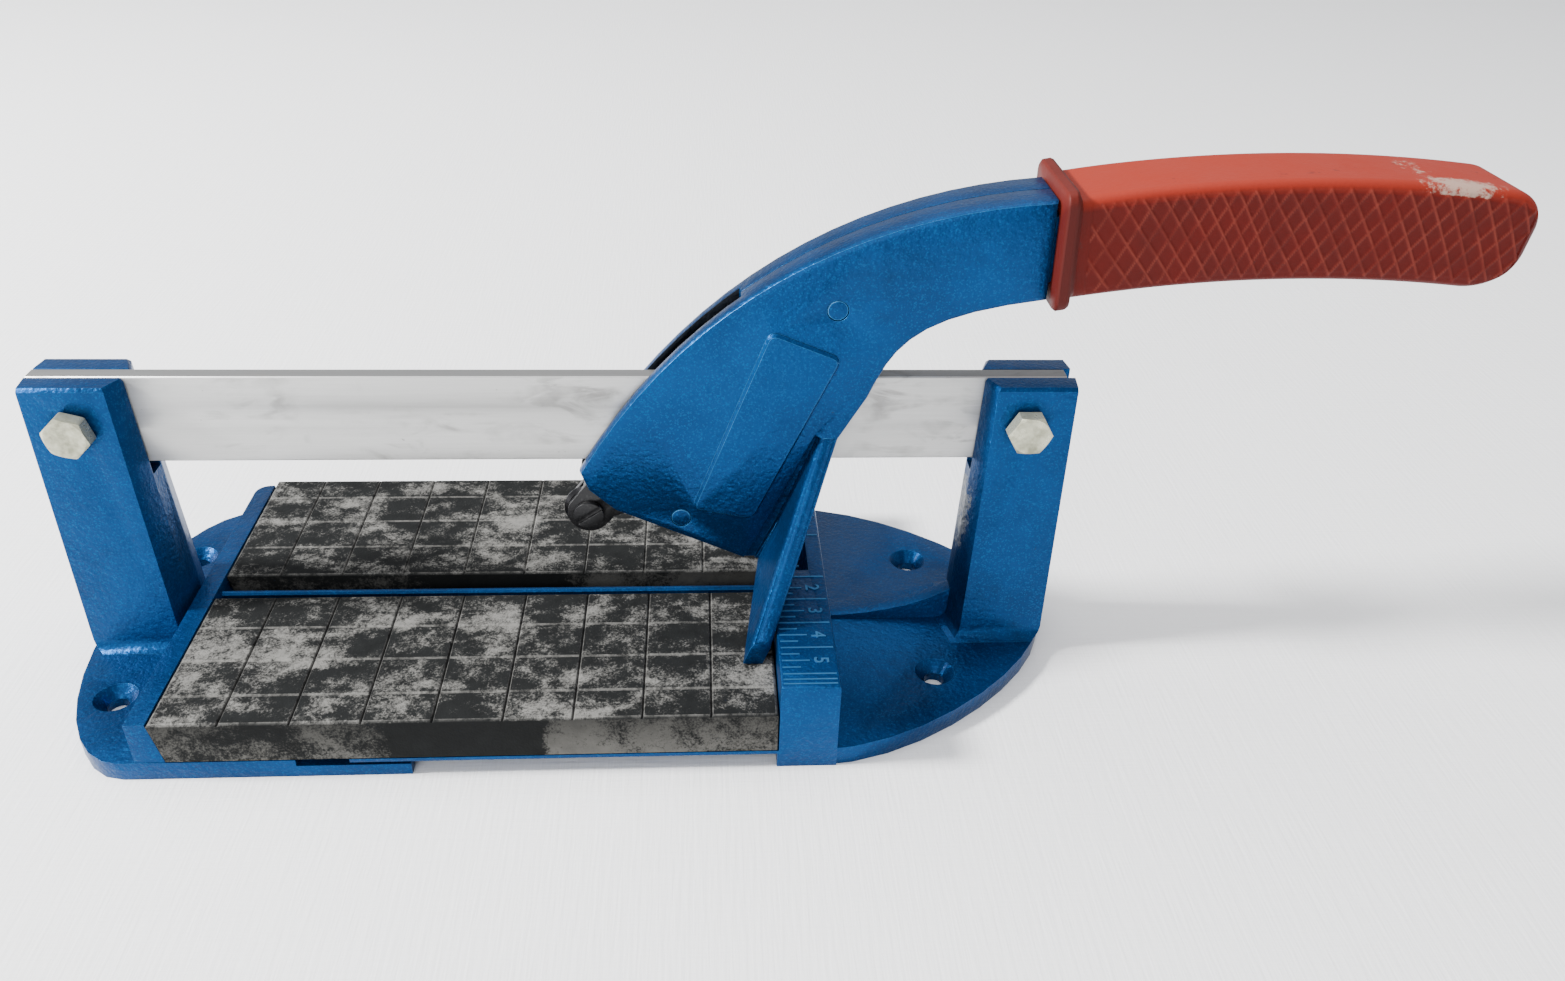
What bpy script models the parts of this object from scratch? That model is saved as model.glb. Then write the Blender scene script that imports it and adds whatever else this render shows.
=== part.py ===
"""Small hand tile cutter: a cast base with two rubber pads, a flat guide rail held by two posts,
and a rocking head with a scoring wheel, two breaker wings and a rubber grip.

Frame: +X runs along the rail towards the grip, +Y points to the back, +Z is up.
The origin is on the floor, under the middle of the pads and of the rail.
Sizes below are in millimetres; every mesh is made in metres.
"""

import math

import bmesh
import bpy
from mathutils import Matrix, Vector
from mathutils.geometry import interpolate_bezier

MM = 0.001
GAP = 0.3  # between pieces that rest on, or sit in, each other
CUT = 2.0  # how far a cutter runs past the face it opens
ROUND = 32  # sides of a round piece

# Pads
PAD_LENGTH = 150.0
PAD_WIDTH = 50.2
PAD_THICK = 11.7
PAD_SPACING = 9.8  # clear width between the two pads
PAD_UNDERCUT = 2.2  # how far the left ends of the pads lean in at the bottom

# Base casting
PLATE_TOP = 5.3
PLATE_THICK = 2.7
SKIRT_THICK = 3.0
LEFT_END = 32.6  # from the pads to the tip of the left flange
LEFT_CORNER = 9.0  # where the left flange starts to curve
RIGHT_END = 78.6
RIGHT_CORNER = 10.0
STRIP_WIDTH = 4.9
STRIP_CORNER = 4.0
FENCE_WIDTH = 14.6
FENCE_HEIGHT = 8.5  # above the pads
FENCE_NOTCH_LENGTH = 10.2
FENCE_NOTCH_WIDTH = 14.0
SEAT_GAP = 0.4  # from the fence to the pads
RIB_WIDTH = 2.0
RIB_DROP = 1.9  # from the top of the pads to the top of the rib
UNDER_RIB = 3.0  # width of the rib under the plate
WEB_THICK = 4.4
WEB_RISE = 14.5
SCREW_HOLE_R = 2.7
COUNTERSINK_R = 5.4
COUNTERSINK_DEPTH = 2.9
BOSS_R = 7.5
LEFT_HOLE = (18.9, 31.0)  # from the pads' left end, and from the rail
RIGHT_HOLE = (44.4, 26.0)  # from the pads' right end, and from the rail
MOUTH_START = 32.6  # the opening in the front skirt, from the pads' left end
MOUTH_BAR_END = 60.1
MOUTH_LIP_START = 45.5
MOUTH_BAR_TOP = 3.4
MOUTH_LIP_BOTTOM = 4.3

# Posts, as eight-sided sections
POST_WIDTH = 23.2  # along the rail, at the parting plane
POST_OUTER_DRAFT = 0.6  # from the parting plane to the front face, on the outer side
POST_INNER_DRAFT = 2.3
POST_TOP_DEPTH = 17.4
POST_FOOT_DEPTH = 22.2
POST_SPREAD = 2.6  # how much the inner side leans out towards the foot
POST_FILLET = 3.0  # radius of the fillet at the foot
LEFT_POST_GAP = 9.0  # from the pads to the left post
RIGHT_POST_GAP = 54.0
SLIT_DEPTH = 3.6  # how far the slit in a post goes on below the rail

# Guide rail
RAIL_THICK = 4.4
RAIL_HEIGHT = 24.0
RAIL_LIFT = 65.2  # from the top of the pads to the top of the rail

# Clamp bolts
BOLT_R = 3.0
HEX_FLATS = 10.0
BOLT_HEAD_HEIGHT = 4.2
BOLT_DROP = 11.0  # from the top of a post
BOLT_SHIFT = {"left": -0.3, "right": -0.9}  # from the middle of the post
NUT_HEIGHT = 5.0
BOLT_END = 3.0  # thread beyond the nut

# Derived places of the base
PAD_LEFT = -PAD_LENGTH / 2 - GAP / 3
PAD_RIGHT = PAD_LEFT + PAD_LENGTH
PAD_BOTTOM = PLATE_TOP + GAP
PAD_TOP = PAD_BOTTOM + PAD_THICK
BASE_HALF = PAD_SPACING / 2 + PAD_WIDTH
FENCE_LEFT = PAD_RIGHT + SEAT_GAP
FENCE_RIGHT = FENCE_LEFT + FENCE_WIDTH
FENCE_TOP = PAD_TOP + FENCE_HEIGHT
RAIL_TOP = PAD_TOP + RAIL_LIFT
RAIL_BOTTOM = RAIL_TOP - RAIL_HEIGHT
POST_TOP = RAIL_TOP - 0.1
LEFT_POST = PAD_LEFT - LEFT_POST_GAP - POST_WIDTH / 2
RIGHT_POST = PAD_RIGHT + RIGHT_POST_GAP + POST_WIDTH / 2
BOLT_Z = POST_TOP - BOLT_DROP
RAIL_LEFT = LEFT_POST - POST_WIDTH / 2
RAIL_RIGHT = RIGHT_POST + POST_WIDTH / 2 - 2.0
RAIL_SLOT_HALF = RAIL_THICK / 2 + GAP


def on_head(x, z):
    """A place on the resting head, from the corner where the fence meets the top of the pads."""
    return FENCE_LEFT + x, PAD_TOP + z


# Head: one outline for both halves, in the plane of the rail
SEAM = 0.15  # each half stops this far from the middle plane
TIP = on_head(-50.4, 39.1)
TIP_LOW = on_head(-48.4, 33.6)
CHIN = on_head(-41.6, 27.5)
HEEL = on_head(-7.2, 12.5)
NECK = on_head(63.7, 113.8)
NECK_LOW = on_head(64.3, 89.2)
WAIST = on_head(22.9, 62.0)
WAIST_LOW = on_head(15.5, 48.9)
WING_HEEL = on_head(-1.0, 6.7)  # a low point on the slanted right face
HALF_AT_TIP = 6.0  # half thickness of the head at the tip
HALF_AT_NECK = 10.0
EDGE_ROUND = 1.6
RIVET = on_head(14.1, 85.9)
SLOT_END = on_head(-9.0, 87.2)
SLOT_LOW = on_head(0.0, 38.7)[1]

# Rocking pivot, in the lower part of the head
PIVOT = on_head(-24.3, 25.9)
ROCK_RANGE = math.radians(35.0)
PIN_R = 2.4
RUNNING = 0.08

# Saddle that carries the pivot on the rail, from the pivot
SADDLE_WALL = 2.2
SADDLE_BACK = 1.0
SADDLE_FRONT = 15.0
SADDLE_NECK = 6.0  # below the rail
SADDLE_EYE_WALL = 1.5
SADDLE_ROOF = 2.2
SHOE_THICK = 2.0
SHOE_START = 2.0
SHOE_LENGTH = 8.0
KEEPER_R = 1.6

# Raised pocket on each side of the head
PANEL = (on_head(-2.1, 80.6), on_head(16.0, 73.5), on_head(-5.3, 26.2), on_head(-21.6, 29.1))
PANEL_RISE = 1.3
PANEL_ROUND = 2.4

# Breaker wings
WING_THICK = 5.0
WING_REACH = 36.2
WING_BLUNT = 6.3  # height of the blunt end of a wing
WING_TOP = WAIST_LOW[1] + 2.8
GROOVE_TOP = on_head(10.0, 51.7)
GROOVE_LOW = on_head(-8.7, 10.7)
GROOVE_WIDTH = 2.6
GROOVE_FLOOR = 5.5  # from the middle plane

# Scoring wheel and its holder
WHEEL = on_head(-48.7, 25.1)
WHEEL_R = 6.8
WHEEL_THICK = 1.6
WHEEL_EDGE = 1.0
HOLDER_R = 5.7
HOLDER_HALF = 3.0
HOLDER_TAIL = (on_head(-31.3, 28.1), on_head(-29.3, 32.7), on_head(-37.3, 34.7), on_head(-47.3, 36.1))
HOLDER_PIN = on_head(-35.7, 31.1)
HOLDER_PIN_R = 1.5
HOLDER_PIN_HALF = 4.6
AXLE_R = 2.0
AXLE_HEAD_R = 4.0
AXLE_HEAD = 1.3
AXLE_SLOT = 1.1

# Grip and the tang inside it
GRIP_START = on_head(64.4, 101.9)
GRIP_PITCH = math.radians(10.2)
GRIP_LEAN = math.radians(8.8)  # the flange stands this much steeper than square
GRIP_LEAN_END = 20.0
GRIP_BEND_R = 370.0
GRIP_LENGTH = 115.4
GRIP_WIDTH = 24.6
GRIP_HEIGHT = 24.6
GRIP_ROUND = 3.0
NOSE_UNDER = (14.0, 12.5)  # length and height of the curve at the end of the underside
NOSE_TOP = (10.0, 10.0)
NOSE_SIDE = (5.0, 5.0)
FLANGE_WIDTH = 30.0
FLANGE_HIGH = 15.0
FLANGE_LOW = -14.0
FLANGE_THICK = 3.4
TANG_HALF = 8.0
TANG_WIDE = 8.6
TANG_LENGTH = 98.0

# Derived places of the head
SADDLE_EYE_R = PIN_R + RUNNING + SADDLE_EYE_WALL
CHEEK_IN = RAIL_THICK / 2 + GAP
CHEEK_OUT = CHEEK_IN + SADDLE_WALL
ROOF_LOW = RAIL_TOP + GAP + SHOE_THICK + GAP
ROOF_TOP = ROOF_LOW + SADDLE_ROOF
SADDLE_LEFT = PIVOT[0] - SADDLE_BACK
SADDLE_RIGHT = PIVOT[0] + SADDLE_FRONT
WING_SLOPE = (WAIST_LOW[0] - WING_HEEL[0]) / (WAIST_LOW[1] - WING_HEEL[1])


# ---------------------------------------------------------------- tools


def clear_scene():
    for thing in list(bpy.data.objects):
        bpy.data.objects.remove(thing, do_unlink=True)


def make_material(name, colour, roughness, metallic):
    material = bpy.data.materials.new(name)
    material.use_nodes = True
    shader = material.node_tree.nodes["Principled BSDF"]
    shader.inputs["Base Color"].default_value = (*colour, 1.0)
    shader.inputs["Roughness"].default_value = roughness
    shader.inputs["Metallic"].default_value = metallic
    return material


def make_object(name, shape, material, origin=(0.0, 0.0, 0.0)):
    """A named object from a bmesh in millimetres, with its origin at the given place."""
    bmesh.ops.translate(shape, verts=shape.verts, vec=-Vector(origin))
    bmesh.ops.scale(shape, verts=shape.verts, vec=(MM, MM, MM))
    bmesh.ops.recalc_face_normals(shape, faces=shape.faces)
    mesh = bpy.data.meshes.new(name)
    shape.to_mesh(mesh)
    shape.free()
    mesh.shade_smooth()
    mesh.set_sharp_from_angle(angle=math.radians(35.0))
    thing = bpy.data.objects.new(name, mesh)
    thing.location = Vector(origin) * MM
    bpy.context.scene.collection.objects.link(thing)
    if material:
        mesh.materials.append(material)
    return thing


def apply_boolean(target, shape, operation="DIFFERENCE"):
    """Cuts the shape from the target, or joins it on, and keeps the helper out of the model."""
    helper = make_object(f"{target.name}_{operation.lower()}", shape, None)
    helper.hide_render = True
    helper.display_type = "WIRE"
    step = target.modifiers.new(operation.title(), "BOOLEAN")
    step.operation = operation
    step.solver = "EXACT"
    step.object = helper
    return helper


def loft(rings):
    """A closed shape through rings of equal length, with flat ends."""
    shape = bmesh.new()
    rows = [[shape.verts.new(point) for point in ring] for ring in rings]
    count = len(rows[0])
    for low, high in zip(rows, rows[1:]):
        for k in range(count):
            shape.faces.new((low[k], low[(k + 1) % count], high[(k + 1) % count], high[k]))
    shape.faces.new(reversed(rows[0]))
    shape.faces.new(rows[-1])
    bmesh.ops.recalc_face_normals(shape, faces=shape.faces)
    return shape


def box(low, high):
    (x0, y0, z0), (x1, y1, z1) = low, high
    ring = ((x0, y0), (x1, y0), (x1, y1), (x0, y1))
    return loft([[(x, y, z0) for x, y in ring], [(x, y, z1) for x, y in ring]])


def upright(outline, low, high):
    """A plan outline (x, y) raised from z = low to z = high."""
    return loft([[(x, y, z) for x, y in outline] for z in (low, high)])


def across(outline, near, far):
    """A side outline (x, z) drawn across in Y. near and far are lengths, or functions of x."""

    def place(side, x):
        return side(x) if callable(side) else side

    return loft([[(x, place(side, x), z) for x, z in outline] for side in (near, far)])


def circle(centre, radius, count=ROUND, start=0.0):
    steps = (start + 2 * math.pi * k / count for k in range(count))
    return [(centre[0] + radius * math.cos(a), centre[1] + radius * math.sin(a)) for a in steps]


def arc(centre, radius, first, last, count):
    """Points of an arc between two angles in degrees, both ends included."""
    steps = (math.radians(first + (last - first) * k / count) for k in range(count + 1))
    return [(centre[0] + radius * math.cos(a), centre[1] + radius * math.sin(a)) for a in steps]


def curve(start, start_handle, end_handle, end, count):
    """Points of a smooth curve, without its last point."""
    knots = [Vector((*point, 0)) for point in (start, start_handle, end_handle, end)]
    points = interpolate_bezier(*knots, count + 1)
    return [(point.x, point.y) for point in points][:-1]


def round_corners(outline, radius, count=4):
    """The outline with each corner replaced by an arc-like curve."""
    points = []
    for k, corner in enumerate(outline):
        here = Vector(corner)
        before = (Vector(outline[k - 1]) - here).normalized() * radius
        after = (Vector(outline[(k + 1) % len(outline)]) - here).normalized() * radius
        first, last = here + before, here + after
        points += curve(first, first - before * 0.55, last - after * 0.55, last, count)
        points.append((last.x, last.y))
    return points


def turned(point, centre, angle):
    """The point (x, z) turned clockwise about the centre, as seen from the front."""
    x, z = point[0] - centre[0], point[1] - centre[1]
    return (
        centre[0] + x * math.cos(angle) + z * math.sin(angle),
        centre[1] - x * math.sin(angle) + z * math.cos(angle),
    )


def round_edges(shape, edges, width, segments):
    bmesh.ops.bevel(
        shape, geom=edges, offset=width, offset_type="OFFSET", segments=segments, profile=0.5,
        affect="EDGES", clamp_overlap=True,
    )
    return shape


def bevel_edges(shape, width, segments, chosen):
    return round_edges(shape, [edge for edge in shape.edges if chosen(edge)], width, segments)


def hexagon_bar(centre, near, far, spin):
    """A hexagon across Y, with flats HEX_FLATS apart and its outer corners chamfered."""
    corner = HEX_FLATS / 2 / math.cos(math.pi / 6)
    return across(circle(centre, corner, 6, spin), near, far)


# ---------------------------------------------------------------- base


def base_outline(inset=0.0):
    """The plan of the base: straight sides with a rounded left end and a broad, bowed right end."""
    half = BASE_HALF - inset
    left_x, right_x = PAD_LEFT - LEFT_END + inset, PAD_RIGHT + RIGHT_END - inset
    left_start, right_start = PAD_LEFT - LEFT_CORNER, PAD_RIGHT + RIGHT_CORNER
    reach = left_start - left_x
    bow = right_x - right_start
    left_handle = (left_start - reach / 2, -half)
    points = curve((left_x, 0), (left_x, -half * 0.58), left_handle, (left_start, -half), 8)
    points.append((left_start, -half))
    points += curve(
        (right_start, -half), (right_start + bow * 0.435, -half), (right_x, -half * 0.363), (right_x, 0), 10
    )
    mirrored = [(x, -y) for x, y in reversed(points[1:])]
    return points + [(right_x, 0)] + mirrored


def post_shape(centre, inward):
    """A post as a loft of eight-sided sections. inward is the side that faces the pads: 1 or -1."""

    def section(depth, spread, z):
        shoulder = RAIL_SLOT_HALF + 0.5
        half, outer, inner = depth / 2, -POST_WIDTH / 2, POST_WIDTH / 2 + spread
        draft = POST_OUTER_DRAFT + max(0.0, half - POST_FOOT_DEPTH / 2)
        plan = (
            (outer + draft, -half), (inner - POST_INNER_DRAFT, -half), (inner, -shoulder),
            (inner, shoulder), (inner - POST_INNER_DRAFT, half), (outer + draft, half),
            (outer, shoulder), (outer, -shoulder),
        )
        return [(centre + inward * x, y, z) for x, y in plan]

    root = PLATE_TOP - PLATE_THICK / 2
    sections = [section(POST_FOOT_DEPTH + 2 * POST_FILLET, POST_SPREAD + POST_FILLET, root)]
    for k in range(4):
        angle = math.radians(30 * k)
        flare = POST_FILLET * (1 - math.sin(angle))
        rise = POST_FILLET * (1 - math.cos(angle))
        sections.append(section(POST_FOOT_DEPTH + 2 * flare, POST_SPREAD + flare, PLATE_TOP + 0.2 + rise))
    sections.append(section(POST_TOP_DEPTH, 0.0, POST_TOP - 0.9))
    sections.append(section(POST_TOP_DEPTH - 1.6, -0.6, POST_TOP))
    return loft(sections)


def web_shape():
    """The thin gusset that rises from the fence to the right post."""
    start = FENCE_RIGHT - 1.0
    end = RIGHT_POST - POST_WIDTH / 2 + 3.0
    low = PLATE_TOP - PLATE_THICK / 2
    top = curve(
        (start, PLATE_TOP + 0.9), (start + 20, PLATE_TOP + 1.2), (end - 8, PLATE_TOP + WEB_RISE * 0.4),
        (end, PLATE_TOP + WEB_RISE), 8,
    )
    outline = top + [(end, PLATE_TOP + WEB_RISE), (end, low), (start, low)]
    return across(outline, -WEB_THICK / 2, WEB_THICK / 2)


def strip_shape():
    """The raised strip that holds the pads' left ends, rounded at its back corner."""
    back, corner = BASE_HALF - 3.0, STRIP_CORNER

    def plan(right, z):
        left = PAD_LEFT - GAP - STRIP_WIDTH
        front = -BASE_HALF + 0.2
        points = [(left, front), (right, front), (right, back)]
        points += arc((left + corner, back - corner), corner, 90, 180, 5)
        return [(x, y, z) for x, y in points]

    right = PAD_LEFT - GAP
    low = PLATE_TOP - PLATE_THICK / 2
    lean = PAD_UNDERCUT * (PAD_TOP - low) / PAD_THICK
    return loft([plan(right + lean, low), plan(right, PAD_TOP)])


def fence_shape():
    shape = box(
        (FENCE_LEFT, -BASE_HALF, 0.0),
        (FENCE_RIGHT, BASE_HALF, FENCE_TOP),
    )
    return bevel_edges(shape, 0.7, 2, lambda e: all(v.co.z > FENCE_TOP - 0.1 for v in e.verts))


def rib_shape():
    top = PAD_TOP - RIB_DROP
    low = PLATE_TOP - PLATE_THICK / 2
    half = RIB_WIDTH / 2
    crown, shoulder = half * 0.4, top - 0.5
    plan = ((-half, low), (half, low), (half, shoulder), (crown, top), (-crown, top), (-half, shoulder))
    left, right = PAD_LEFT - GAP - 0.5, FENCE_LEFT + 0.5
    return loft([[(x, y, z) for y, z in plan] for x in (left, right)])


def screw_holes():
    """The four countersunk hole places: two on each flange."""
    places = ((PAD_LEFT - LEFT_HOLE[0], LEFT_HOLE[1]), (PAD_RIGHT + RIGHT_HOLE[0], RIGHT_HOLE[1]))
    return [(x, side * y) for x, y in places for side in (-1, 1)]


def make_base(material):
    floor = PLATE_TOP - PLATE_THICK
    base = make_object("base_casting", upright(base_outline(), 0.0, PLATE_TOP), material)
    posts = (post_shape(LEFT_POST, 1), post_shape(RIGHT_POST, -1))
    for shape in (strip_shape(), fence_shape(), rib_shape(), web_shape(), *posts):
        apply_boolean(base, shape, "UNION")
    underside = upright(base_outline(SKIRT_THICK), -CUT, floor)
    hollow = apply_boolean(base, underside)
    for x, y in screw_holes():
        apply_boolean(hollow, upright(circle((x, y), BOSS_R), -2 * CUT, floor + CUT))
    centre_rib = box(
        (PAD_LEFT - LEFT_END, -UNDER_RIB / 2, -2 * CUT),
        (PAD_RIGHT + RIGHT_END, UNDER_RIB / 2, floor + CUT),
    )
    apply_boolean(hollow, centre_rib)
    cut_holes(base)
    cut_notch(base)
    cut_front_mouth(base)
    cut_rail_slots(base)
    return base


def cut_holes(base):
    for x, y in screw_holes():
        rings = [
            [(px, py, -CUT) for px, py in circle((x, y), SCREW_HOLE_R)],
            [(px, py, PLATE_TOP - COUNTERSINK_DEPTH) for px, py in circle((x, y), SCREW_HOLE_R)],
            [(px, py, PLATE_TOP) for px, py in circle((x, y), COUNTERSINK_R)],
            [(px, py, PLATE_TOP + CUT) for px, py in circle((x, y), COUNTERSINK_R)],
        ]
        apply_boolean(base, loft(rings))


def cut_notch(base):
    """The slot in the fence that the lower corner of the head runs into."""
    apply_boolean(base, box(
        (FENCE_LEFT - CUT, -FENCE_NOTCH_WIDTH / 2, PAD_TOP - RIB_DROP + 0.6),
        (FENCE_LEFT + FENCE_NOTCH_LENGTH, FENCE_NOTCH_WIDTH / 2, FENCE_TOP + CUT),
    ))


def cut_front_mouth(base):
    """The long opening under the front edge of the plate, with a short bar left across its start."""
    front, back = -BASE_HALF - CUT, -BASE_HALF + SKIRT_THICK + 0.4
    start, bar_end, lip = (PAD_LEFT + x for x in (MOUTH_START, MOUTH_BAR_END, MOUTH_LIP_START))
    right = FENCE_LEFT - 0.4
    apply_boolean(base, box((start, front, MOUTH_BAR_TOP), (right, back, MOUTH_LIP_BOTTOM)))
    apply_boolean(base, box((bar_end, front, -CUT), (right, back, MOUTH_BAR_TOP + 0.2)))
    apply_boolean(base, box((start, front, MOUTH_LIP_BOTTOM - 0.2), (lip, -BASE_HALF + 2.0, PLATE_TOP + CUT)))


def bolt_place(side):
    centre = LEFT_POST if side == "left" else RIGHT_POST
    return centre + BOLT_SHIFT[side], BOLT_Z


def cut_rail_slots(base):
    for side, centre in (("left", LEFT_POST), ("right", RIGHT_POST)):
        low = (centre - POST_WIDTH, -RAIL_SLOT_HALF, RAIL_BOTTOM - SLIT_DEPTH)
        high = (centre + POST_WIDTH, RAIL_SLOT_HALF, POST_TOP + CUT)
        apply_boolean(base, box(low, high))
        bolt_hole = across(circle(bolt_place(side), BOLT_R + GAP), -POST_FOOT_DEPTH, POST_FOOT_DEPTH)
        apply_boolean(base, bolt_hole)


def make_pads(material):
    """Two blocks whose left ends lean in at the bottom."""
    for name, side in (("front_pad", -1), ("rear_pad", 1)):
        near, far = sorted((side * PAD_SPACING / 2, side * (PAD_SPACING / 2 + PAD_WIDTH)))
        profile = (
            (PAD_LEFT, PAD_TOP), (PAD_LEFT + PAD_UNDERCUT, PAD_BOTTOM),
            (PAD_RIGHT, PAD_BOTTOM), (PAD_RIGHT, PAD_TOP),
        )
        make_object(name, across(profile, near, far), material)


def make_rail(material):
    low = (RAIL_LEFT, -RAIL_THICK / 2, RAIL_BOTTOM)
    high = (RAIL_RIGHT, RAIL_THICK / 2, RAIL_TOP)
    shape = bevel_edges(box(low, high), 0.35, 1, lambda e: e.verts[0].co.x != e.verts[1].co.x)
    rail = make_object("guide_rail", shape, material)
    for side in BOLT_SHIFT:
        apply_boolean(rail, across(circle(bolt_place(side), BOLT_R + GAP), -RAIL_THICK, RAIL_THICK))


def make_clamp(side, spin, steel):
    """A hexagon bolt through the post and the rail, with its nut behind."""
    face = POST_TOP_DEPTH / 2 + 0.6
    nut_near = face + GAP
    bolt_end = nut_near + NUT_HEIGHT + BOLT_END
    head_near = -face - GAP
    place = bolt_place(side)
    head = hexagon_bar(place, head_near - BOLT_HEAD_HEIGHT, head_near, spin)
    bevel_edges(head, 0.45, 1, lambda e: all(v.co.y < head_near - BOLT_HEAD_HEIGHT + 0.1 for v in e.verts))
    bolt = make_object(f"{side}_clamp_bolt", head, steel)
    apply_boolean(bolt, across(circle(place, BOLT_R), head_near - 1.0, bolt_end), "UNION")
    nut_shape = hexagon_bar(place, nut_near, nut_near + NUT_HEIGHT, spin + 0.3)
    nut = make_object(f"{side}_clamp_nut", nut_shape, steel)
    apply_boolean(nut, across(circle(place, BOLT_R + GAP), nut_near - CUT, nut_near + NUT_HEIGHT + CUT))


# ---------------------------------------------------------------- carriage on the rail


def saddle_outline():
    """A cheek of the saddle: an eye around the pivot and a broad upper part over the rail."""
    eye = arc(PIVOT, SADDLE_EYE_R, 175, 365, 12)
    shoulder = RAIL_BOTTOM - SADDLE_NECK
    right = [(SADDLE_RIGHT, shoulder + 4), (SADDLE_RIGHT, ROOF_TOP)]
    return eye + right + [(SADDLE_LEFT, ROOF_TOP), (SADDLE_LEFT, shoulder)]


def make_saddle(material):
    """A steel saddle that hangs on the rail and carries the pivot pin in its two eyes."""
    saddle = make_object("rail_saddle", across(saddle_outline(), -CHEEK_OUT, CHEEK_OUT), material)
    inside = box((SADDLE_LEFT - 20, -CHEEK_IN, 0.0), (SADDLE_RIGHT + 20, CHEEK_IN, ROOF_LOW))
    apply_boolean(saddle, inside)
    apply_boolean(saddle, across(circle(PIVOT, PIN_R + RUNNING), -CHEEK_OUT - CUT, CHEEK_OUT + CUT))
    keeper = (SADDLE_RIGHT - 4.0, RAIL_BOTTOM - GAP - KEEPER_R)
    apply_boolean(saddle, across(circle(keeper, KEEPER_R + GAP, 24), -CHEEK_OUT - CUT, CHEEK_OUT + CUT))
    return keeper


def make_keeper(centre, material):
    half = CHEEK_OUT - 0.2
    make_object("keeper_pin", across(circle(centre, KEEPER_R, 24), -half, half), material)


def make_shoe(material):
    half = CHEEK_IN - GAP
    start = PIVOT[0] + SHOE_START
    low = (start, -half, RAIL_TOP + GAP)
    high = (start + SHOE_LENGTH, half, RAIL_TOP + GAP + SHOE_THICK)
    make_object("rail_shoe", box(low, high), material)


# ---------------------------------------------------------------- head


def half_thickness(x):
    """The head grows thicker from its tip to its neck."""
    return HALF_AT_TIP + (HALF_AT_NECK - HALF_AT_TIP) * (x - TIP[0]) / (NECK[0] - TIP[0])


def panel_height(x):
    return half_thickness(x) + PANEL_RISE


def wing_right(z):
    return WING_HEEL[0] + WING_SLOPE * (z - WING_HEEL[1])


def grip_line(distance):
    """The place and the pitch of the grip's middle line, this far along it."""
    pitch = GRIP_PITCH - distance / GRIP_BEND_R
    x = GRIP_START[0] + GRIP_BEND_R * (math.sin(GRIP_PITCH) - math.sin(pitch))
    z = GRIP_START[1] + GRIP_BEND_R * (math.cos(pitch) - math.cos(GRIP_PITCH))
    return x, z, pitch


def grip_point(distance, lift):
    """The point at this height above the grip's middle line: square to it, and steeper near the flange."""
    x, z, pitch = grip_line(distance)
    pitch -= GRIP_LEAN * max(0.0, 1.0 - max(distance, 0.0) / GRIP_LEAN_END)
    return x - lift * math.sin(pitch), z + lift * math.cos(pitch)


def head_outline():
    """The side outline of the head without its tang, clockwise from the tip."""
    brow_handle = (TIP[0] + 28.2, TIP[1] + 48.8)
    points = curve(TIP, brow_handle, (NECK[0] - 45.7, NECK[1] - 3.2), NECK, 18)
    points.append(NECK)
    neck_handle = (NECK_LOW[0] - 31.0, NECK_LOW[1] - 4.8)
    points += curve(NECK_LOW, neck_handle, (WAIST[0] + 6.0, WAIST[1] + 15.4), WAIST, 9)
    points += [WAIST, WAIST_LOW, (wing_right(HEEL[1]), HEEL[1]), HEEL, CHIN, TIP_LOW]
    return points


def saddle_sweep():
    """The room that the saddle needs between the halves, over the whole rocking range."""
    margin = GAP + 0.1
    left, right, top = SADDLE_LEFT - margin, SADDLE_RIGHT + margin, ROOF_TOP + margin
    corner = (right, top)
    steps = [ROCK_RANGE * k / 8 for k in range(9)]
    lowest = turned((right, RAIL_BOTTOM - 2.0 - margin), PIVOT, ROCK_RANGE)
    outline = [(left, RAIL_BOTTOM - SADDLE_NECK), (left, top)]
    outline += [turned(corner, PIVOT, angle) for angle in steps]
    outline += [lowest]
    eye_end = -math.degrees(ROCK_RANGE)
    outline += arc(PIVOT, SADDLE_EYE_R + margin, eye_end, -190, 10)
    return outline


def rail_sweep():
    """The room that the rail and the shoe need, and the slot that is open along the brow."""
    far = 90.0
    top = ROOF_TOP + 0.4
    low = RAIL_BOTTOM - GAP
    reach = low - PIVOT[1]
    tilted = [turned((PIVOT[0], PIVOT[1] + reach), PIVOT, ROCK_RANGE * k / 4) for k in range(5)]
    right_low = turned((PIVOT[0] + far, PIVOT[1] + reach), PIVOT, ROCK_RANGE)
    outline = [(TIP[0] - 20, SLOT_LOW), (TIP[0] - 20, top + 40), (SLOT_END[0] - 1, SLOT_END[1] + 12)]
    outline += [SLOT_END, (SLOT_END[0] + 1.5, top + 2), (SLOT_END[0] + 6, top), (WAIST[0] + 30, top)]
    outline += [right_low] + list(reversed(tilted)) + [(PIVOT[0] - 16, low), (TIP[0] + 8, SLOT_LOW)]
    return outline


def tang_shape(side, margin=0.0, start=-5.0):
    """The tang of a half, or with side 0 the bore for both, along the grip's middle line."""
    wide, high, end = TANG_WIDE + margin, TANG_HALF + margin, TANG_LENGTH + margin
    rings = []
    for k in range(7):
        distance = start + (end - start) * k / 6
        rings.append([
            (grip_point(distance, lift)[0], y, grip_point(distance, lift)[1])
            for y, lift in (
                (side * wide if side else wide, high), (side * SEAM if side else -wide, high),
                (side * SEAM if side else -wide, -high), (side * wide if side else wide, -high),
            )
        ])
    return loft(rings)


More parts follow.
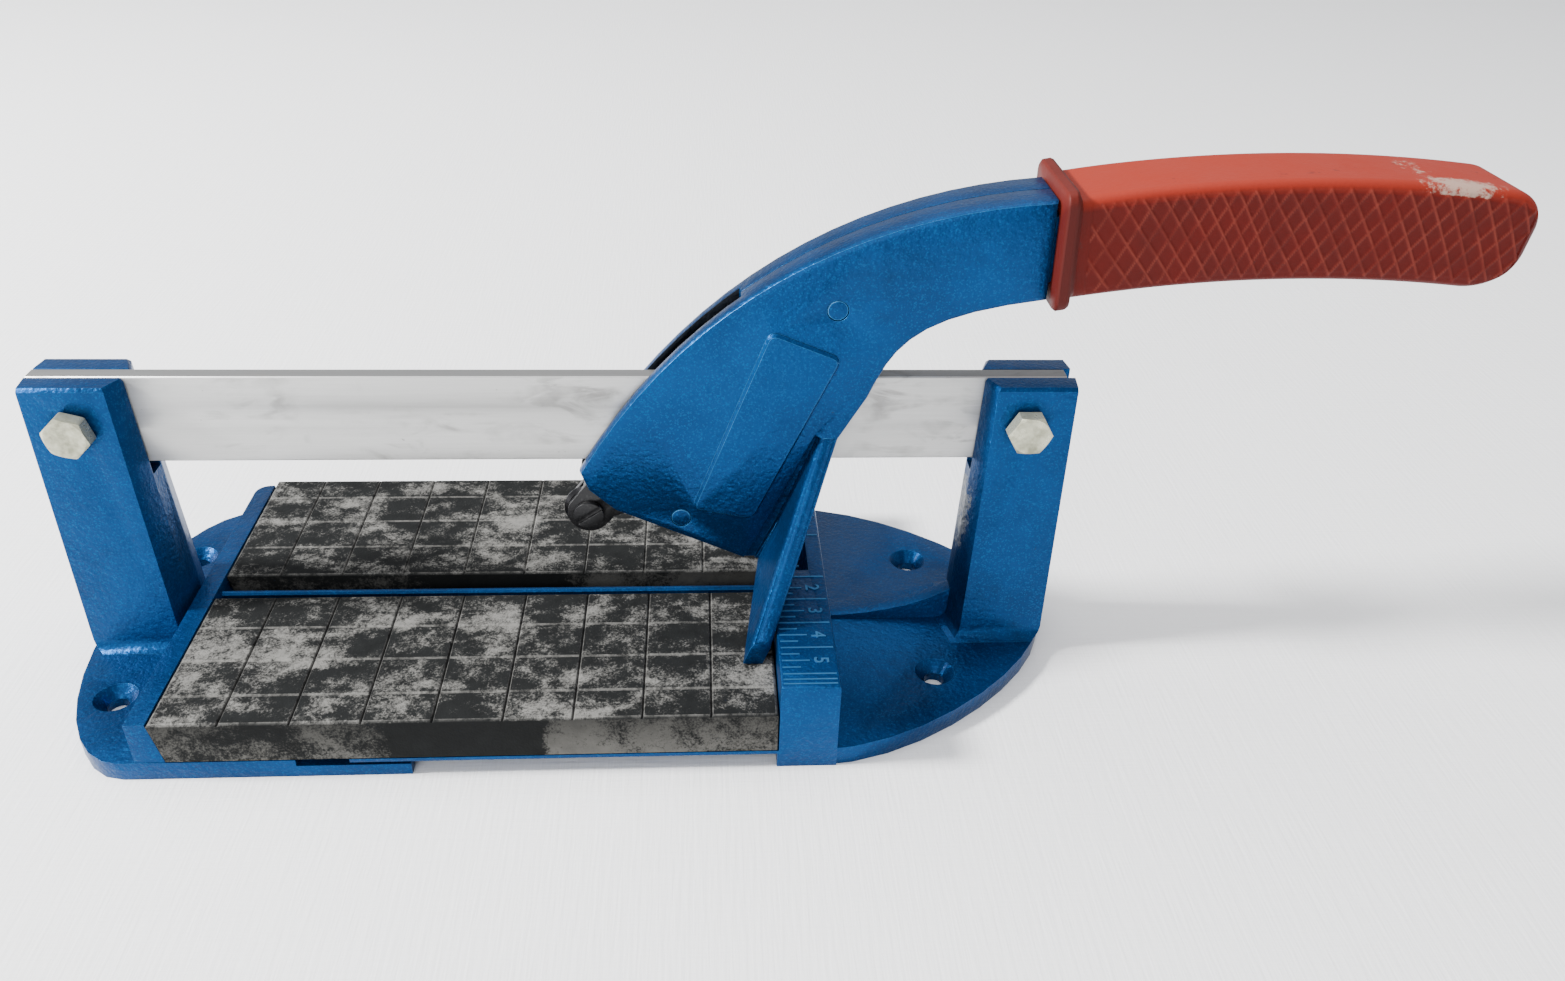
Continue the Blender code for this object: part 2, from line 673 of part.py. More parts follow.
def make_half(name, side, material):
    """One half of the head, cast with its breaker wing. side is -1 at the front and 1 at the back."""

    def at(distance):
        return lambda x: side * distance(x) if callable(distance) else side * distance

    body = across(head_outline(), at(lambda x: SEAM), at(half_thickness))
    outer = [e for e in body.edges if all(abs(v.co.y) > SEAM + 1 for v in e.verts)]
    round_edges(body, outer, EDGE_ROUND, 2)
    half = make_object(name, body, material)
    apply_boolean(half, tang_shape(side), "UNION")
    panel = round_corners(PANEL, PANEL_ROUND)
    raised = across(panel, at(lambda x: half_thickness(x) - 1.0), at(panel_height))
    rim = [e for e in raised.edges if all(abs(v.co.y) > panel_height(v.co.x) - 0.1 for v in e.verts)]
    round_edges(raised, rim, 0.7, 1)
    apply_boolean(half, raised, "UNION")
    groove = (
        GROOVE_TOP, (GROOVE_TOP[0] + GROOVE_WIDTH, GROOVE_TOP[1] - 1.5),
        (GROOVE_LOW[0] + GROOVE_WIDTH + 0.6, GROOVE_LOW[1]), GROOVE_LOW,
    )
    apply_boolean(half, across(groove, side * GROOVE_FLOOR, side * 20.0))
    apply_boolean(half, wing_shape(side), "UNION")
    apply_boolean(half, across(rail_sweep(), side * -CUT, side * (RAIL_THICK / 2 + 0.5)))
    apply_boolean(half, across(saddle_sweep(), side * -CUT, side * (CHEEK_OUT + GAP)))
    apply_boolean(half, across(holder_outline(2 * GAP), side * -CUT, side * (HOLDER_HALF + GAP)))
    for centre in (PIVOT, RIVET):
        apply_boolean(half, across(circle(centre, PIN_R + GAP), side * -CUT, side * 20.0))
    pin_room = HOLDER_PIN_HALF + GAP
    apply_boolean(half, across(circle(HOLDER_PIN, HOLDER_PIN_R + GAP, 20), side * -CUT, side * pin_room))
    return half


def wing_shape(side):
    """A breaker wing: a slanted plate that reaches out sideways and stands on the pad."""
    foot = PAD_TOP + GAP
    profile = (
        (5.8, WING_TOP), (7.6, WING_TOP), (WING_REACH, foot + WING_BLUNT), (WING_REACH, foot),
        (5.8, HEEL[1] + 0.4),
    )
    rings = [
        [(wing_right(z) - back, side * y, z) for y, z in profile]
        for back in (0.0, WING_THICK)
    ]
    shape = loft(rings)
    outer = [e for e in shape.edges if all(v.co.z > foot + 0.1 and abs(v.co.y) > 7 for v in e.verts)]
    round_edges(shape, outer, 1.3, 2)
    return shape


def make_rivet(name, centre, material):
    half = half_thickness(centre[0]) - 0.1
    make_object(name, across(circle(centre, PIN_R), -half, half), material, (centre[0], 0.0, centre[1]))


def holder_outline(margin=0.0):
    """The wheel holder: a tongue between the halves that ends in a round eye around the wheel's axle."""
    reach = HOLDER_R + margin
    eye = arc(WHEEL, reach, 150, 345, 14)
    shifts = ((margin, -margin), (margin, margin), (0.0, margin), (-margin, margin))
    return eye + [(x + dx, z + dz) for (x, z), (dx, dz) in zip(HOLDER_TAIL, shifts)]


def make_holder(material):
    holder = make_object("wheel_holder", across(holder_outline(), -HOLDER_HALF, HOLDER_HALF), material)
    room = WHEEL_R + 0.8
    fork = arc(WHEEL, room, 0, 360, ROUND)[:-1]
    apply_boolean(holder, across(fork, -WHEEL_THICK / 2 - GAP, WHEEL_THICK / 2 + GAP))
    beyond = HOLDER_HALF + CUT
    apply_boolean(holder, across(circle(WHEEL, AXLE_R + GAP), -beyond, beyond))
    apply_boolean(holder, across(circle(HOLDER_PIN, HOLDER_PIN_R + GAP, 20), -beyond, beyond))
    pin = across(circle(HOLDER_PIN, HOLDER_PIN_R, 20), -HOLDER_PIN_HALF, HOLDER_PIN_HALF)
    make_object("holder_pin", pin, material)


def make_wheel(material):
    """The scoring wheel: a thin disc with a V-shaped edge."""
    half = WHEEL_THICK / 2
    shoulder = WHEEL_R - WHEEL_EDGE
    rings = []
    for radius, y in ((shoulder, -half), (WHEEL_R, -0.1), (WHEEL_R, 0.1), (shoulder, half)):
        rings.append([(x, y, z) for x, z in circle(WHEEL, radius, 48)])
    wheel = make_object("scoring_wheel", loft(rings), material, (WHEEL[0], 0.0, WHEEL[1]))
    apply_boolean(wheel, across(circle(WHEEL, AXLE_R + RUNNING), -CUT, CUT))


def make_axle(material):
    near = HOLDER_HALF + GAP
    disc = across(circle(WHEEL, AXLE_HEAD_R), -near - AXLE_HEAD, -near)
    head = make_object("wheel_axle_screw", disc, material)
    apply_boolean(head, across(circle(WHEEL, AXLE_R), -near - 0.5, near + 2.2), "UNION")
    half = AXLE_SLOT / 2
    reach = AXLE_HEAD_R + CUT
    slot = [(-reach, -half), (reach, -half), (reach, half), (-reach, half)]
    tilt = Matrix.Rotation(math.radians(35.0), 2)
    placed = [tuple(tilt @ Vector(p) + Vector(WHEEL)) for p in slot]
    apply_boolean(head, across(placed, -near - AXLE_HEAD - CUT, -near - AXLE_HEAD + 0.6))
    nut = make_object("wheel_axle_nut", across(circle(WHEEL, 3.6, 6), near, near + 1.8), material)
    apply_boolean(nut, across(circle(WHEEL, AXLE_R + GAP), near - CUT, near + CUT + 2))


def rounded_section(width, low, high, radius, count=3):
    """A rounded rectangle (y, lift) as a ring."""
    w = width / 2 - radius
    top, bottom = high - radius, low + radius
    ring = []
    for quarter, centre in enumerate(((w, top), (-w, top), (-w, bottom), (w, bottom))):
        ring += arc(centre, radius, 90 * quarter, 90 * quarter + 90, count)
    return ring


def nose(distance, size):
    """How much a quarter-ellipse of this length and height takes off, this far along the grip."""
    length, height = size
    share = min(max((distance - GRIP_LENGTH + length) / length, 0.0), 1.0)
    return height * (1 - math.sqrt(1 - share * share))


def grip_section(distance):
    """Width, low side, high side and corner radius of the sleeve, this far along it."""
    width = GRIP_WIDTH - 2 * nose(distance, NOSE_SIDE)
    low = -GRIP_HEIGHT / 2 + nose(distance, NOSE_UNDER)
    high = GRIP_HEIGHT / 2 - nose(distance, NOSE_TOP)
    return width, low, high, min(GRIP_ROUND, (high - low) / 2.2)


def make_grip(material):
    """The rubber sleeve, with a flange at its mouth and a blind bore for the tang."""
    flange = (FLANGE_WIDTH, FLANGE_LOW, FLANGE_HIGH, GRIP_ROUND)
    sections = [(0.0, flange), (FLANGE_THICK, flange)]
    body_start = FLANGE_THICK + 0.8
    body_end = GRIP_LENGTH - NOSE_UNDER[0]
    places = [body_start + (body_end - body_start) * k / 5 for k in range(6)]
    places += [body_end + NOSE_UNDER[0] * math.sin(math.radians(15 * k)) for k in range(1, 7)]
    sections += [(distance, grip_section(distance)) for distance in places]
    rings = []
    for distance, section in sections:
        ring = []
        for y, lift in rounded_section(*section):
            x, z = grip_point(distance, lift)
            ring.append((x, y, z))
        rings.append(ring)
    grip = make_object("rubber_grip", loft(rings), material)
    apply_boolean(grip, tang_shape(0, GAP, -CUT))


# ---------------------------------------------------------------- assembly


def main():
    clear_scene()
    paint = make_material("blue_paint", (0.02, 0.12, 0.36), 0.35, 0.3)
    rubber = make_material("pad_rubber", (0.05, 0.05, 0.05), 0.9, 0.0)
    steel = make_material("rail_steel", (0.62, 0.62, 0.6), 0.35, 1.0)
    zinc = make_material("zinc_bolt", (0.7, 0.7, 0.6), 0.35, 1.0)
    black = make_material("black_steel", (0.02, 0.02, 0.02), 0.4, 0.8)
    bronze = make_material("shoe_bronze", (0.5, 0.33, 0.15), 0.5, 0.9)
    red = make_material("grip_rubber", (0.36, 0.05, 0.03), 0.6, 0.0)
    make_base(paint)
    make_pads(rubber)
    make_rail(steel)
    make_clamp("left", math.radians(44.0), zinc)
    make_clamp("right", 0.0, zinc)
    make_shoe(bronze)
    make_keeper(make_saddle(black), steel)
    make_half("head_front_half", -1, paint)
    make_half("head_rear_half", 1, paint)
    make_rivet("pivot_pin", PIVOT, paint)
    make_rivet("head_rivet", RIVET, paint)
    make_holder(black)
    make_wheel(steel)
    make_axle(black)
    make_grip(red)


main()
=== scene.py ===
"""Hand tile cutter: the finish of its cast body, rubber pads, rail, lever, wheel and grip."""

import math

import bmesh
import bpy
from bpy.props import FloatProperty, FloatVectorProperty, IntProperty, PointerProperty
from mathutils import Matrix, Vector


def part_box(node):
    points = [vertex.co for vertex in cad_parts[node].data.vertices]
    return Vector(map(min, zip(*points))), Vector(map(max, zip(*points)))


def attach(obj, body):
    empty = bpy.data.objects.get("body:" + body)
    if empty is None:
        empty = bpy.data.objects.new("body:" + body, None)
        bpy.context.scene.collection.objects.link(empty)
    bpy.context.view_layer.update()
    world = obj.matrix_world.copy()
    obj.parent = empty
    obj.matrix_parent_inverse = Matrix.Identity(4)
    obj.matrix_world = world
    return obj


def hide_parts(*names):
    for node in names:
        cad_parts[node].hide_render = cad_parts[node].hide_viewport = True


bl_info = {
    "name": "Hand tile cutter",
    "version": (1, 0, 0),
    "blender": (4, 5, 0),
    "location": "3D View > Sidebar > Tile cutter",
    "description": "Makes the finished pieces of a hand tile cutter around its frame",
    "category": "Object",
}

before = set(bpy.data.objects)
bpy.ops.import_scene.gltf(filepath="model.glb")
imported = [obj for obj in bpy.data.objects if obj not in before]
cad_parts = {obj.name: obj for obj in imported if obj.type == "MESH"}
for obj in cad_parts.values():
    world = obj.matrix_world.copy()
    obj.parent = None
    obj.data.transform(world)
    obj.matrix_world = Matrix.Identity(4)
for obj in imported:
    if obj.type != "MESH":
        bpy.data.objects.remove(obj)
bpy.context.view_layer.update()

# ---------------------------------------------------------------- shader tools


class Shader:
    """A small helper that adds nodes to a tree and links them by socket name."""

    def __init__(self, tree):
        self.tree = tree
        self.nodes = tree.nodes

    def add(self, kind, inputs=None, **settings):
        node = self.nodes.new(kind)
        for name, value in settings.items():
            setattr(node, name, value)
        for name, value in (inputs or {}).items():
            self.feed(node.inputs[name], value)
        return node

    def feed(self, socket, value):
        if isinstance(value, bpy.types.NodeSocket):
            self.tree.links.new(value, socket)
        else:
            socket.default_value = value

    def math(self, operation, first, second=0.0):
        return self.add("ShaderNodeMath", {0: first, 1: second}, operation=operation).outputs[0]

    def scaled(self, value, factor, base):
        """The value times a factor, plus a base."""
        inputs = {0: value, 1: factor, 2: base}
        return self.add("ShaderNodeMath", inputs, operation="MULTIPLY_ADD").outputs[0]

    def attribute(self, name):
        return self.add("ShaderNodeAttribute", attribute_name=name).outputs["Fac"]

    def ramp(self, value, low, high):
        """Maps low..high smoothly to 0..1."""
        node = self.add("ShaderNodeMapRange", {"Value": value}, interpolation_type="SMOOTHSTEP")
        node.inputs["From Min"].default_value = low
        node.inputs["From Max"].default_value = high
        return node.outputs["Result"]

    def mix(self, share, first, second):
        node = self.add("ShaderNodeMix", data_type="RGBA")
        self.feed(node.inputs["Factor"], share)
        for socket, colour in (("A", first), ("B", second)):
            plain = not isinstance(colour, bpy.types.NodeSocket)
            self.feed(node.inputs[socket], (*colour, 1) if plain else colour)
        return node.outputs["Result"]

    def place(self, stretch=(1, 1, 1), turn=(0, 0, 0)):
        """Object coordinates, stretched and turned."""
        where = self.add("ShaderNodeTexCoord").outputs["Object"]
        node = self.add("ShaderNodeMapping", {"Vector": where})
        node.inputs["Scale"].default_value = stretch
        node.inputs["Rotation"].default_value = turn
        return node.outputs["Vector"]

    def noise(self, where, scale, detail=3.0, rough=0.55, bend=0.0):
        node = self.add("ShaderNodeTexNoise", {"Vector": where})
        node.inputs["Scale"].default_value = scale
        node.inputs["Detail"].default_value = detail
        node.inputs["Roughness"].default_value = rough
        node.inputs["Distortion"].default_value = bend
        return node.outputs["Fac"]


def group_tree(name, inputs, outputs):
    """An empty node group with number inputs and outputs. Returns its Shader, inputs and outputs."""
    tree = bpy.data.node_groups.new(name, "ShaderNodeTree")
    for socket, value in inputs.items():
        made = tree.interface.new_socket(socket, in_out="INPUT", socket_type="NodeSocketFloat")
        made.default_value = value
    for socket in outputs:
        tree.interface.new_socket(socket, in_out="OUTPUT", socket_type="NodeSocketFloat")
    shader = Shader(tree)
    return shader, shader.add("NodeGroupInput").outputs, shader.add("NodeGroupOutput").inputs


def patches_group():
    """Uneven patches, such as dirt, dust and worn spots: a mask from 0 to 1."""
    if "patches" in bpy.data.node_groups:
        return bpy.data.node_groups["patches"]
    shader, given, out = group_tree(
        "patches", {"Scale": 40.0, "Breakup": 260.0, "Amount": 0.5, "Softness": 0.1}, ("Mask",)
    )
    where = shader.place()
    broad = shader.add("ShaderNodeTexNoise", {"Vector": where, "Scale": given["Scale"], "Detail": 4.0})
    fine = shader.add("ShaderNodeTexNoise", {"Vector": where, "Scale": given["Breakup"], "Detail": 3.0})
    both = shader.math("ADD", broad.outputs["Fac"], shader.math("MULTIPLY", fine.outputs["Fac"], 0.45))
    both = shader.math("DIVIDE", both, 1.45)
    level = shader.math("SUBTRACT", 1.0, given["Amount"])
    low = shader.math("SUBTRACT", level, given["Softness"])
    high = shader.math("ADD", level, given["Softness"])
    edge = shader.add("ShaderNodeMapRange", {"Value": both, "From Min": low, "From Max": high})
    shader.feed(out["Mask"], edge.outputs["Result"])
    return shader.tree


def grain_group():
    """Fine surface grain: a height from two sizes of noise."""
    if "grain" in bpy.data.node_groups:
        return bpy.data.node_groups["grain"]
    shader, given, out = group_tree("grain", {"Scale": 900.0, "Coarse": 0.4}, ("Height",))
    where = shader.place()
    fine = shader.add("ShaderNodeTexNoise", {"Vector": where, "Scale": given["Scale"], "Detail": 2.0})
    third = shader.math("MULTIPLY", given["Scale"], 0.28)
    broad = shader.add("ShaderNodeTexNoise", {"Vector": where, "Scale": third, "Detail": 2.0})
    weighted = shader.math("MULTIPLY", broad.outputs["Fac"], given["Coarse"])
    shader.feed(out["Height"], shader.math("ADD", fine.outputs["Fac"], weighted))
    return shader.tree


def new_material(name, roughness, metallic, coat=0.0):
    """A material with a Principled shader. Returns it, its Shader helper and the shader node."""
    material = bpy.data.materials.new(name)
    material.use_nodes = True
    principled = material.node_tree.nodes["Principled BSDF"]
    principled.inputs["Roughness"].default_value = roughness
    principled.inputs["Metallic"].default_value = metallic
    principled.inputs["Coat Weight"].default_value = coat
    return material, Shader(material.node_tree), principled


def use_group(shader, tree, values):
    """The first output of a node group with these input values."""
    node = shader.add("ShaderNodeGroup", node_tree=tree)
    for name, value in values.items():
        shader.feed(node.inputs[name], value)
    return node.outputs[0]


def patches(shader, scale, breakup, amount, softness):
    values = {"Scale": scale, "Breakup": breakup, "Amount": amount, "Softness": softness}
    return use_group(shader, patches_group(), values)


def grain(shader, scale, coarse):
    return use_group(shader, grain_group(), {"Scale": scale, "Coarse": coarse})


def add_bump(shader, principled, height, depth, strength=1.0):
    bump = shader.add("ShaderNodeBump", {"Height": height})
    bump.inputs["Distance"].default_value = depth
    bump.inputs["Strength"].default_value = strength
    shader.feed(principled.inputs["Normal"], bump.outputs["Normal"])


# ---------------------------------------------------------------- materials


def cast_paint(settings, name="cast_paint", chips=0.24, painted_highlight=0.0):
    """Metallic blue enamel over a cast surface, with sparkle, dirt and chips down to the metal.

    The chips' share of the surface and the painted highlight, a paler blue on edges and raised marks,
    can be chosen.
    """
    if name in bpy.data.materials:
        return bpy.data.materials[name]
    material, shader, principled = new_material(name, 0.4, 0.75, 0.05)
    principled.inputs["Specular IOR Level"].default_value = 0.2
    principled.inputs["Coat Roughness"].default_value = 0.2
    where = shader.place()
    tone = shader.noise(where, 30.0, 3.0)
    colour = shader.mix(shader.ramp(tone, 0.3, 0.7), settings.paint_dark, settings.paint)
    flake = shader.add("ShaderNodeTexVoronoi", {"Vector": where, "Scale": 3000.0})
    flake = shader.add("ShaderNodeSeparateColor", {"Color": flake.outputs["Color"]})
    bright = shader.ramp(flake.outputs[0], 0.72, 0.98)
    colour = shader.mix(shader.math("MULTIPLY", bright, 0.22), colour, (0.008, 0.14, 0.38))
    # Painted highlight: the colour goes toward a paler blue where edges and raised marks would catch the
    # light.
    colour = shader.mix(painted_highlight, colour, (0.05, 0.20, 0.42))
    dirt = patches(shader, 24.0, 260.0, 0.36, 0.08)
    colour = shader.mix(shader.math("MULTIPLY", dirt, 0.35), colour, (0.002, 0.012, 0.035))
    speck = patches(shader, 420.0, 1500.0, 0.3, 0.03)
    colour = shader.mix(shader.math("MULTIPLY", speck, 0.7), colour, (0.012, 0.02, 0.03))
    worn = patches(shader, 130.0, 900.0, chips, 0.02)
    colour = shader.mix(shader.math("MULTIPLY", worn, 0.8), colour, (0.30, 0.34, 0.37))
    shader.feed(principled.inputs["Base Color"], colour)
    shader.feed(principled.inputs["Roughness"], shader.scaled(tone, 0.25, 0.27))
    skin = grain(shader, 900.0, 1.3)
    height = shader.math("SUBTRACT", skin, shader.math("MULTIPLY", worn, 0.8))
    add_bump(shader, principled, height, 0.00022, 0.8)
    return material


def raised_paint(settings):
    """The paint of raised marks and of the flush pins' lips, with a strong painted highlight: a paler
    blue.
    """
    return cast_paint(settings, "cast_paint_marks", 0.3, 0.8)


def repaint(material):
    """The Shader of a finished material, its colour input, and the place on the object and its axes."""
    shader = Shader(material.node_tree)
    where = shader.add("ShaderNodeTexCoord").outputs["Object"]
    axes = shader.add("ShaderNodeSeparateXYZ", {"Vector": where}).outputs
    return shader, shader.nodes["Principled BSDF"].inputs["Base Color"], where, axes


def worn_casting(settings, name, painted_highlight=0.0):
    """The base's paint, rubbed to bare grey metal on the rib and on the inner side of the right post."""
    if name in bpy.data.materials:
        return bpy.data.materials[name]
    material = cast_paint(settings, name, 0.25, painted_highlight)
    shader, colour, where, axes = repaint(material)
    edge = shader.math("SUBTRACT", shader.noise(where, 240.0, 6.0, 0.75), 0.5)
    spots = []
    for centre, reach in settings.bare_spots():
        parts = [
            shader.math("POWER", shader.math("DIVIDE", shader.math("SUBTRACT", axis, at), wide), 2.0)
            for axis, at, wide in zip(axes, centre, reach)
        ]
        spots.append(shader.math("ADD", shader.math("ADD", parts[0], parts[1]), parts[2]))
    nearest = spots[0]
    for spot in spots[1:]:
        nearest = shader.math("MINIMUM", nearest, spot)
    nearest = shader.math("ADD", nearest, shader.math("MULTIPLY", edge, 4.5))
    share = shader.math("SUBTRACT", 1.0, shader.ramp(nearest, 0.35, 0.8))
    grey = shader.mix(shader.noise(where, 700.0, 3.0), (0.13, 0.14, 0.145), (0.36, 0.37, 0.37))
    bare = shader.mix(shader.math("MULTIPLY", share, 0.85), colour.links[0].from_socket, grey)
    shader.feed(colour, bare)
    return material


def head_paint(settings, name, painted_highlight=0.0):
    """The lever's paint, with painted shade: black down in the slot between the halves."""
    if name in bpy.data.materials:
        return bpy.data.materials[name]
    material = cast_paint(settings, name, 0.24, painted_highlight)
    shader, colour, where, axes = repaint(material)
    # Painted shade: near black inside the open slot between the halves, up to where the slot ends.
    off = shader.math("ABSOLUTE", axes["Y"])
    share = shader.ramp(off, settings.slot_half, settings.slot_half + 0.0004)
    share = shader.math("SUBTRACT", 1.0, share)
    share = shader.math("MULTIPLY", share, shader.math("LESS_THAN", axes["X"], settings.slot_end))
    shader.feed(colour, shader.mix(share, colour.links[0].from_socket, (0.004, 0.006, 0.01)))
    return material


def worn_rubber(name, dark, dusty, amount, band=None):
    """Old pad rubber: near black where it is clean, grey with tile dust where it is worn.

    A band from one x to another is dustier, and the rubber behind the band is cleaner.
    """
    if name in bpy.data.materials:
        return bpy.data.materials[name]
    material, shader, principled = new_material(name, 0.85, 0.0)
    principled.inputs["Specular IOR Level"].default_value = 0.08
    where = shader.place()
    broad = shader.noise(shader.place((0.75, 1.25, 1)), 85.0, 2.0, 0.55, 0.5)
    fine = shader.noise(where, 330.0, 5.0, 0.75)
    grit = shader.noise(where, 1700.0, 3.0, 0.8)
    level = shader.math("ADD", broad, shader.math("MULTIPLY", fine, 0.8))
    level = shader.math("ADD", level, shader.math("MULTIPLY", grit, 0.8))
    if band:
        axis = shader.add("ShaderNodeSeparateXYZ", {"Vector": where}).outputs["X"]
        wander = shader.math("ADD", axis, shader.math("MULTIPLY", fine, 0.004))
        begin, end = band
        blur = 0.002
        begun = shader.ramp(wander, begin, begin + blur)
        inside = shader.math("MULTIPLY", begun, shader.ramp(wander, end, end - blur))
        level = shader.math("SUBTRACT", level, shader.math("MULTIPLY", inside, 0.6))
        behind = shader.ramp(wander, end, end + blur)
        level = shader.math("ADD", level, shader.math("MULTIPLY", behind, 0.18))
    share = shader.math("SUBTRACT", 1.0, shader.ramp(level, amount - 0.17, amount + 0.17))
    tone = shader.noise(where, 300.0, 4.0)
    pale = shader.mix(tone, Vector(dusty) * 0.65, Vector(dusty) * 1.25)
    deep = shader.mix(tone, Vector(dark) * 0.6, Vector(dark) * 1.8)
    colour = shader.mix(share, pale, deep)
    lip = shader.attribute("lip")
    lip = shader.math("MULTIPLY", lip, shader.ramp(fine, 0.3, 0.6))
    colour = shader.mix(shader.math("MULTIPLY", lip, 0.4), colour, Vector(dusty) * 1.5)
    # Painted shade: darker in the grooves and at the pads' edges, by the groove value.
    groove_shade = shader.attribute("groove")
    colour = shader.mix(shader.math("MULTIPLY", groove_shade, 0.85), colour, Vector(dark) * 0.8)
    shader.feed(principled.inputs["Base Color"], colour)
    shader.feed(principled.inputs["Roughness"], shader.scaled(share, -0.15, 0.92))
    skin = grain(shader, 1500.0, 0.8)
    add_bump(shader, principled, skin, 0.0002, 0.5)
    return material


def rail_steel(name, shade=1.0):
    """Cold-drawn steel bar, brushed along its length, with a few greasy smears."""
    if name in bpy.data.materials:
        return bpy.data.materials[name]
    material, shader, principled = new_material(name, 0.42, 0.55)
    lines = shader.noise(shader.place((0.02, 1, 1)), 2600.0, 2.0)
    smear = patches(shader, 34.0, 170.0, 0.43, 0.09)
    streak = shader.noise(shader.place((0.5, 1, 1.6), (0, 0.5, 0)), 120.0, 4.0, 0.6, 0.8)
    grease = shader.math("MULTIPLY", smear, shader.ramp(streak, 0.47, 0.62))
    speck = patches(shader, 300.0, 1400.0, 0.3, 0.03)
    grease = shader.math("MAXIMUM", grease, speck)
    base = shader.mix(lines, Vector((0.43, 0.43, 0.42)) * shade, Vector((0.52, 0.52, 0.51)) * shade)
    colour = shader.mix(shader.math("MULTIPLY", grease, 0.6), base, (0.16, 0.155, 0.145))
    shader.feed(principled.inputs["Base Color"], colour)
    shader.feed(principled.inputs["Roughness"], shader.scaled(grease, 0.2, 0.38))
    add_bump(shader, principled, lines, 0.00004, 0.35)
    return material


def zinc_plate():
    """Yellowish zinc plating, dulled in patches."""
    if "zinc_plate" in bpy.data.materials:
        return bpy.data.materials["zinc_plate"]
    material, shader, principled = new_material("zinc_plate", 0.34, 0.65)
    dull = patches(shader, 160.0, 900.0, 0.46, 0.12)
    colour = shader.mix(dull, (0.50, 0.50, 0.38), (0.25, 0.25, 0.18))
    shader.feed(principled.inputs["Base Color"], colour)
    shader.feed(principled.inputs["Roughness"], shader.scaled(dull, 0.25, 0.26))
    skin = grain(shader, 1400.0, 0.9)
    add_bump(shader, principled, skin, 0.00008, 0.5)
    return material


def oiled_metal(name, colour, pale, roughness, metallic):
    """Small steel or bronze pieces, oiled and lightly scratched."""
    if name in bpy.data.materials:
        return bpy.data.materials[name]
    material, shader, principled = new_material(name, roughness, metallic)
    wear = patches(shader, 210.0, 1200.0, 0.36, 0.04)
    shader.feed(principled.inputs["Base Color"], shader.mix(wear, colour, pale))
    skin = grain(shader, 1600.0, 0.5)
    add_bump(shader, principled, skin, 0.00006, 0.5)
    return material


def black_oxide():
    return oiled_metal("black_oxide", (0.007, 0.007, 0.008), (0.035, 0.035, 0.035), 0.42, 0.4)


def grip_rubber(settings):
    """Dull red rubber, paler on top as painted light from above, with pale ridges and a whitish scuffed
    place near its end.
    """
    if "grip_red" in bpy.data.materials:
        return bpy.data.materials["grip_red"]
    material, shader, principled = new_material("grip_red", 0.55, 0.0)
    principled.inputs["Specular IOR Level"].default_value = 0.15
    red, where = Vector(settings.grip_colour), shader.place()
    tone = shader.noise(where, 90.0, 4.0)
    colour = shader.mix(tone, red * 0.7, red * 1.3)
    # Painted light: upward-facing rubber goes to a brighter red, as if lit from above.
    painted_top_light = shader.attribute("top")
    colour = shader.mix(shader.math("MULTIPLY", painted_top_light, 0.8), colour, (0.29, 0.026, 0.012))
    # Darker on the flange, by a patchy amount.
    rim = shader.attribute("rim")
    flange_darkening = shader.math("MULTIPLY", rim, shader.math("ADD", 0.3, shader.math("MULTIPLY", tone, 0.6)))
    colour = shader.mix(flange_darkening, colour, (0.05, 0.008, 0.006))
    ridge = shader.attribute("ridge")
    patchy = shader.ramp(shader.noise(where, 150.0, 3.0), 0.35, 0.65)
    strength = shader.math("ADD", 0.16, shader.math("MULTIPLY", patchy, 0.34))
    colour = shader.mix(shader.math("MULTIPLY", ridge, strength), colour, (0.26, 0.05, 0.032))
    dirt = patches(shader, 260.0, 1100.0, 0.33, 0.04)
    colour = shader.mix(shader.math("MULTIPLY", dirt, 0.6), colour, (0.05, 0.014, 0.012))
    scuff = shader.attribute("scuff")
    spots = shader.math("ADD", shader.math("MULTIPLY", scuff, 0.3), shader.noise(where, 330.0, 6.0, 0.8))
    worn = shader.math("MULTIPLY", shader.ramp(spots, 0.6, 0.78), shader.ramp(scuff, 0.0, 0.25))
    colour = shader.mix(shader.math("MULTIPLY", worn, 0.8), colour, (0.38, 0.29, 0.23))
    shader.feed(principled.inputs["Base Color"], colour)
    shader.feed(principled.inputs["Roughness"], shader.scaled(tone, 0.25, 0.42))
    skin = grain(shader, 1300.0, 0.9)
    add_bump(shader, principled, skin, 0.0001, 0.45)
    return material


def paper_floor():
    """A white sheet with a faint woven texture."""
    material, shader, principled = new_material("paper_floor", 0.75, 0.0)
    principled.inputs["Base Color"].default_value = (0.93, 0.93, 0.93, 1)
    warp = shader.noise(shader.place((1, 0.06, 1)), 900.0, 2.0)
    weft = shader.noise(shader.place((0.06, 1, 1)), 900.0, 2.0)
    add_bump(shader, principled, shader.math("ADD", warp, weft), 0.0005, 0.32)
    return material


# ---------------------------------------------------------------- mesh tools


def link_mesh(name, mesh, materials):
    thing = bpy.data.objects.new(name, mesh)
    bpy.context.scene.collection.objects.link(thing)
    for material in materials:
        mesh.materials.append(material)
    return thing


def from_bmesh(name, shape, materials, smooth_angle=35.0):
    bmesh.ops.recalc_face_normals(shape, faces=shape.faces)
    mesh = bpy.data.meshes.new(name)
    shape.to_mesh(mesh)
    shape.free()
    mesh.shade_smooth()
    mesh.set_sharp_from_angle(angle=math.radians(smooth_angle))
    return link_mesh(name, mesh, materials)


def make_plain(thing):
    """Applies the object's modifiers, so that the result is a plain mesh."""
    graph = bpy.context.evaluated_depsgraph_get()
    mesh = bpy.data.meshes.new_from_object(thing.evaluated_get(graph))
    thing.modifiers.clear()
    thing.data = mesh


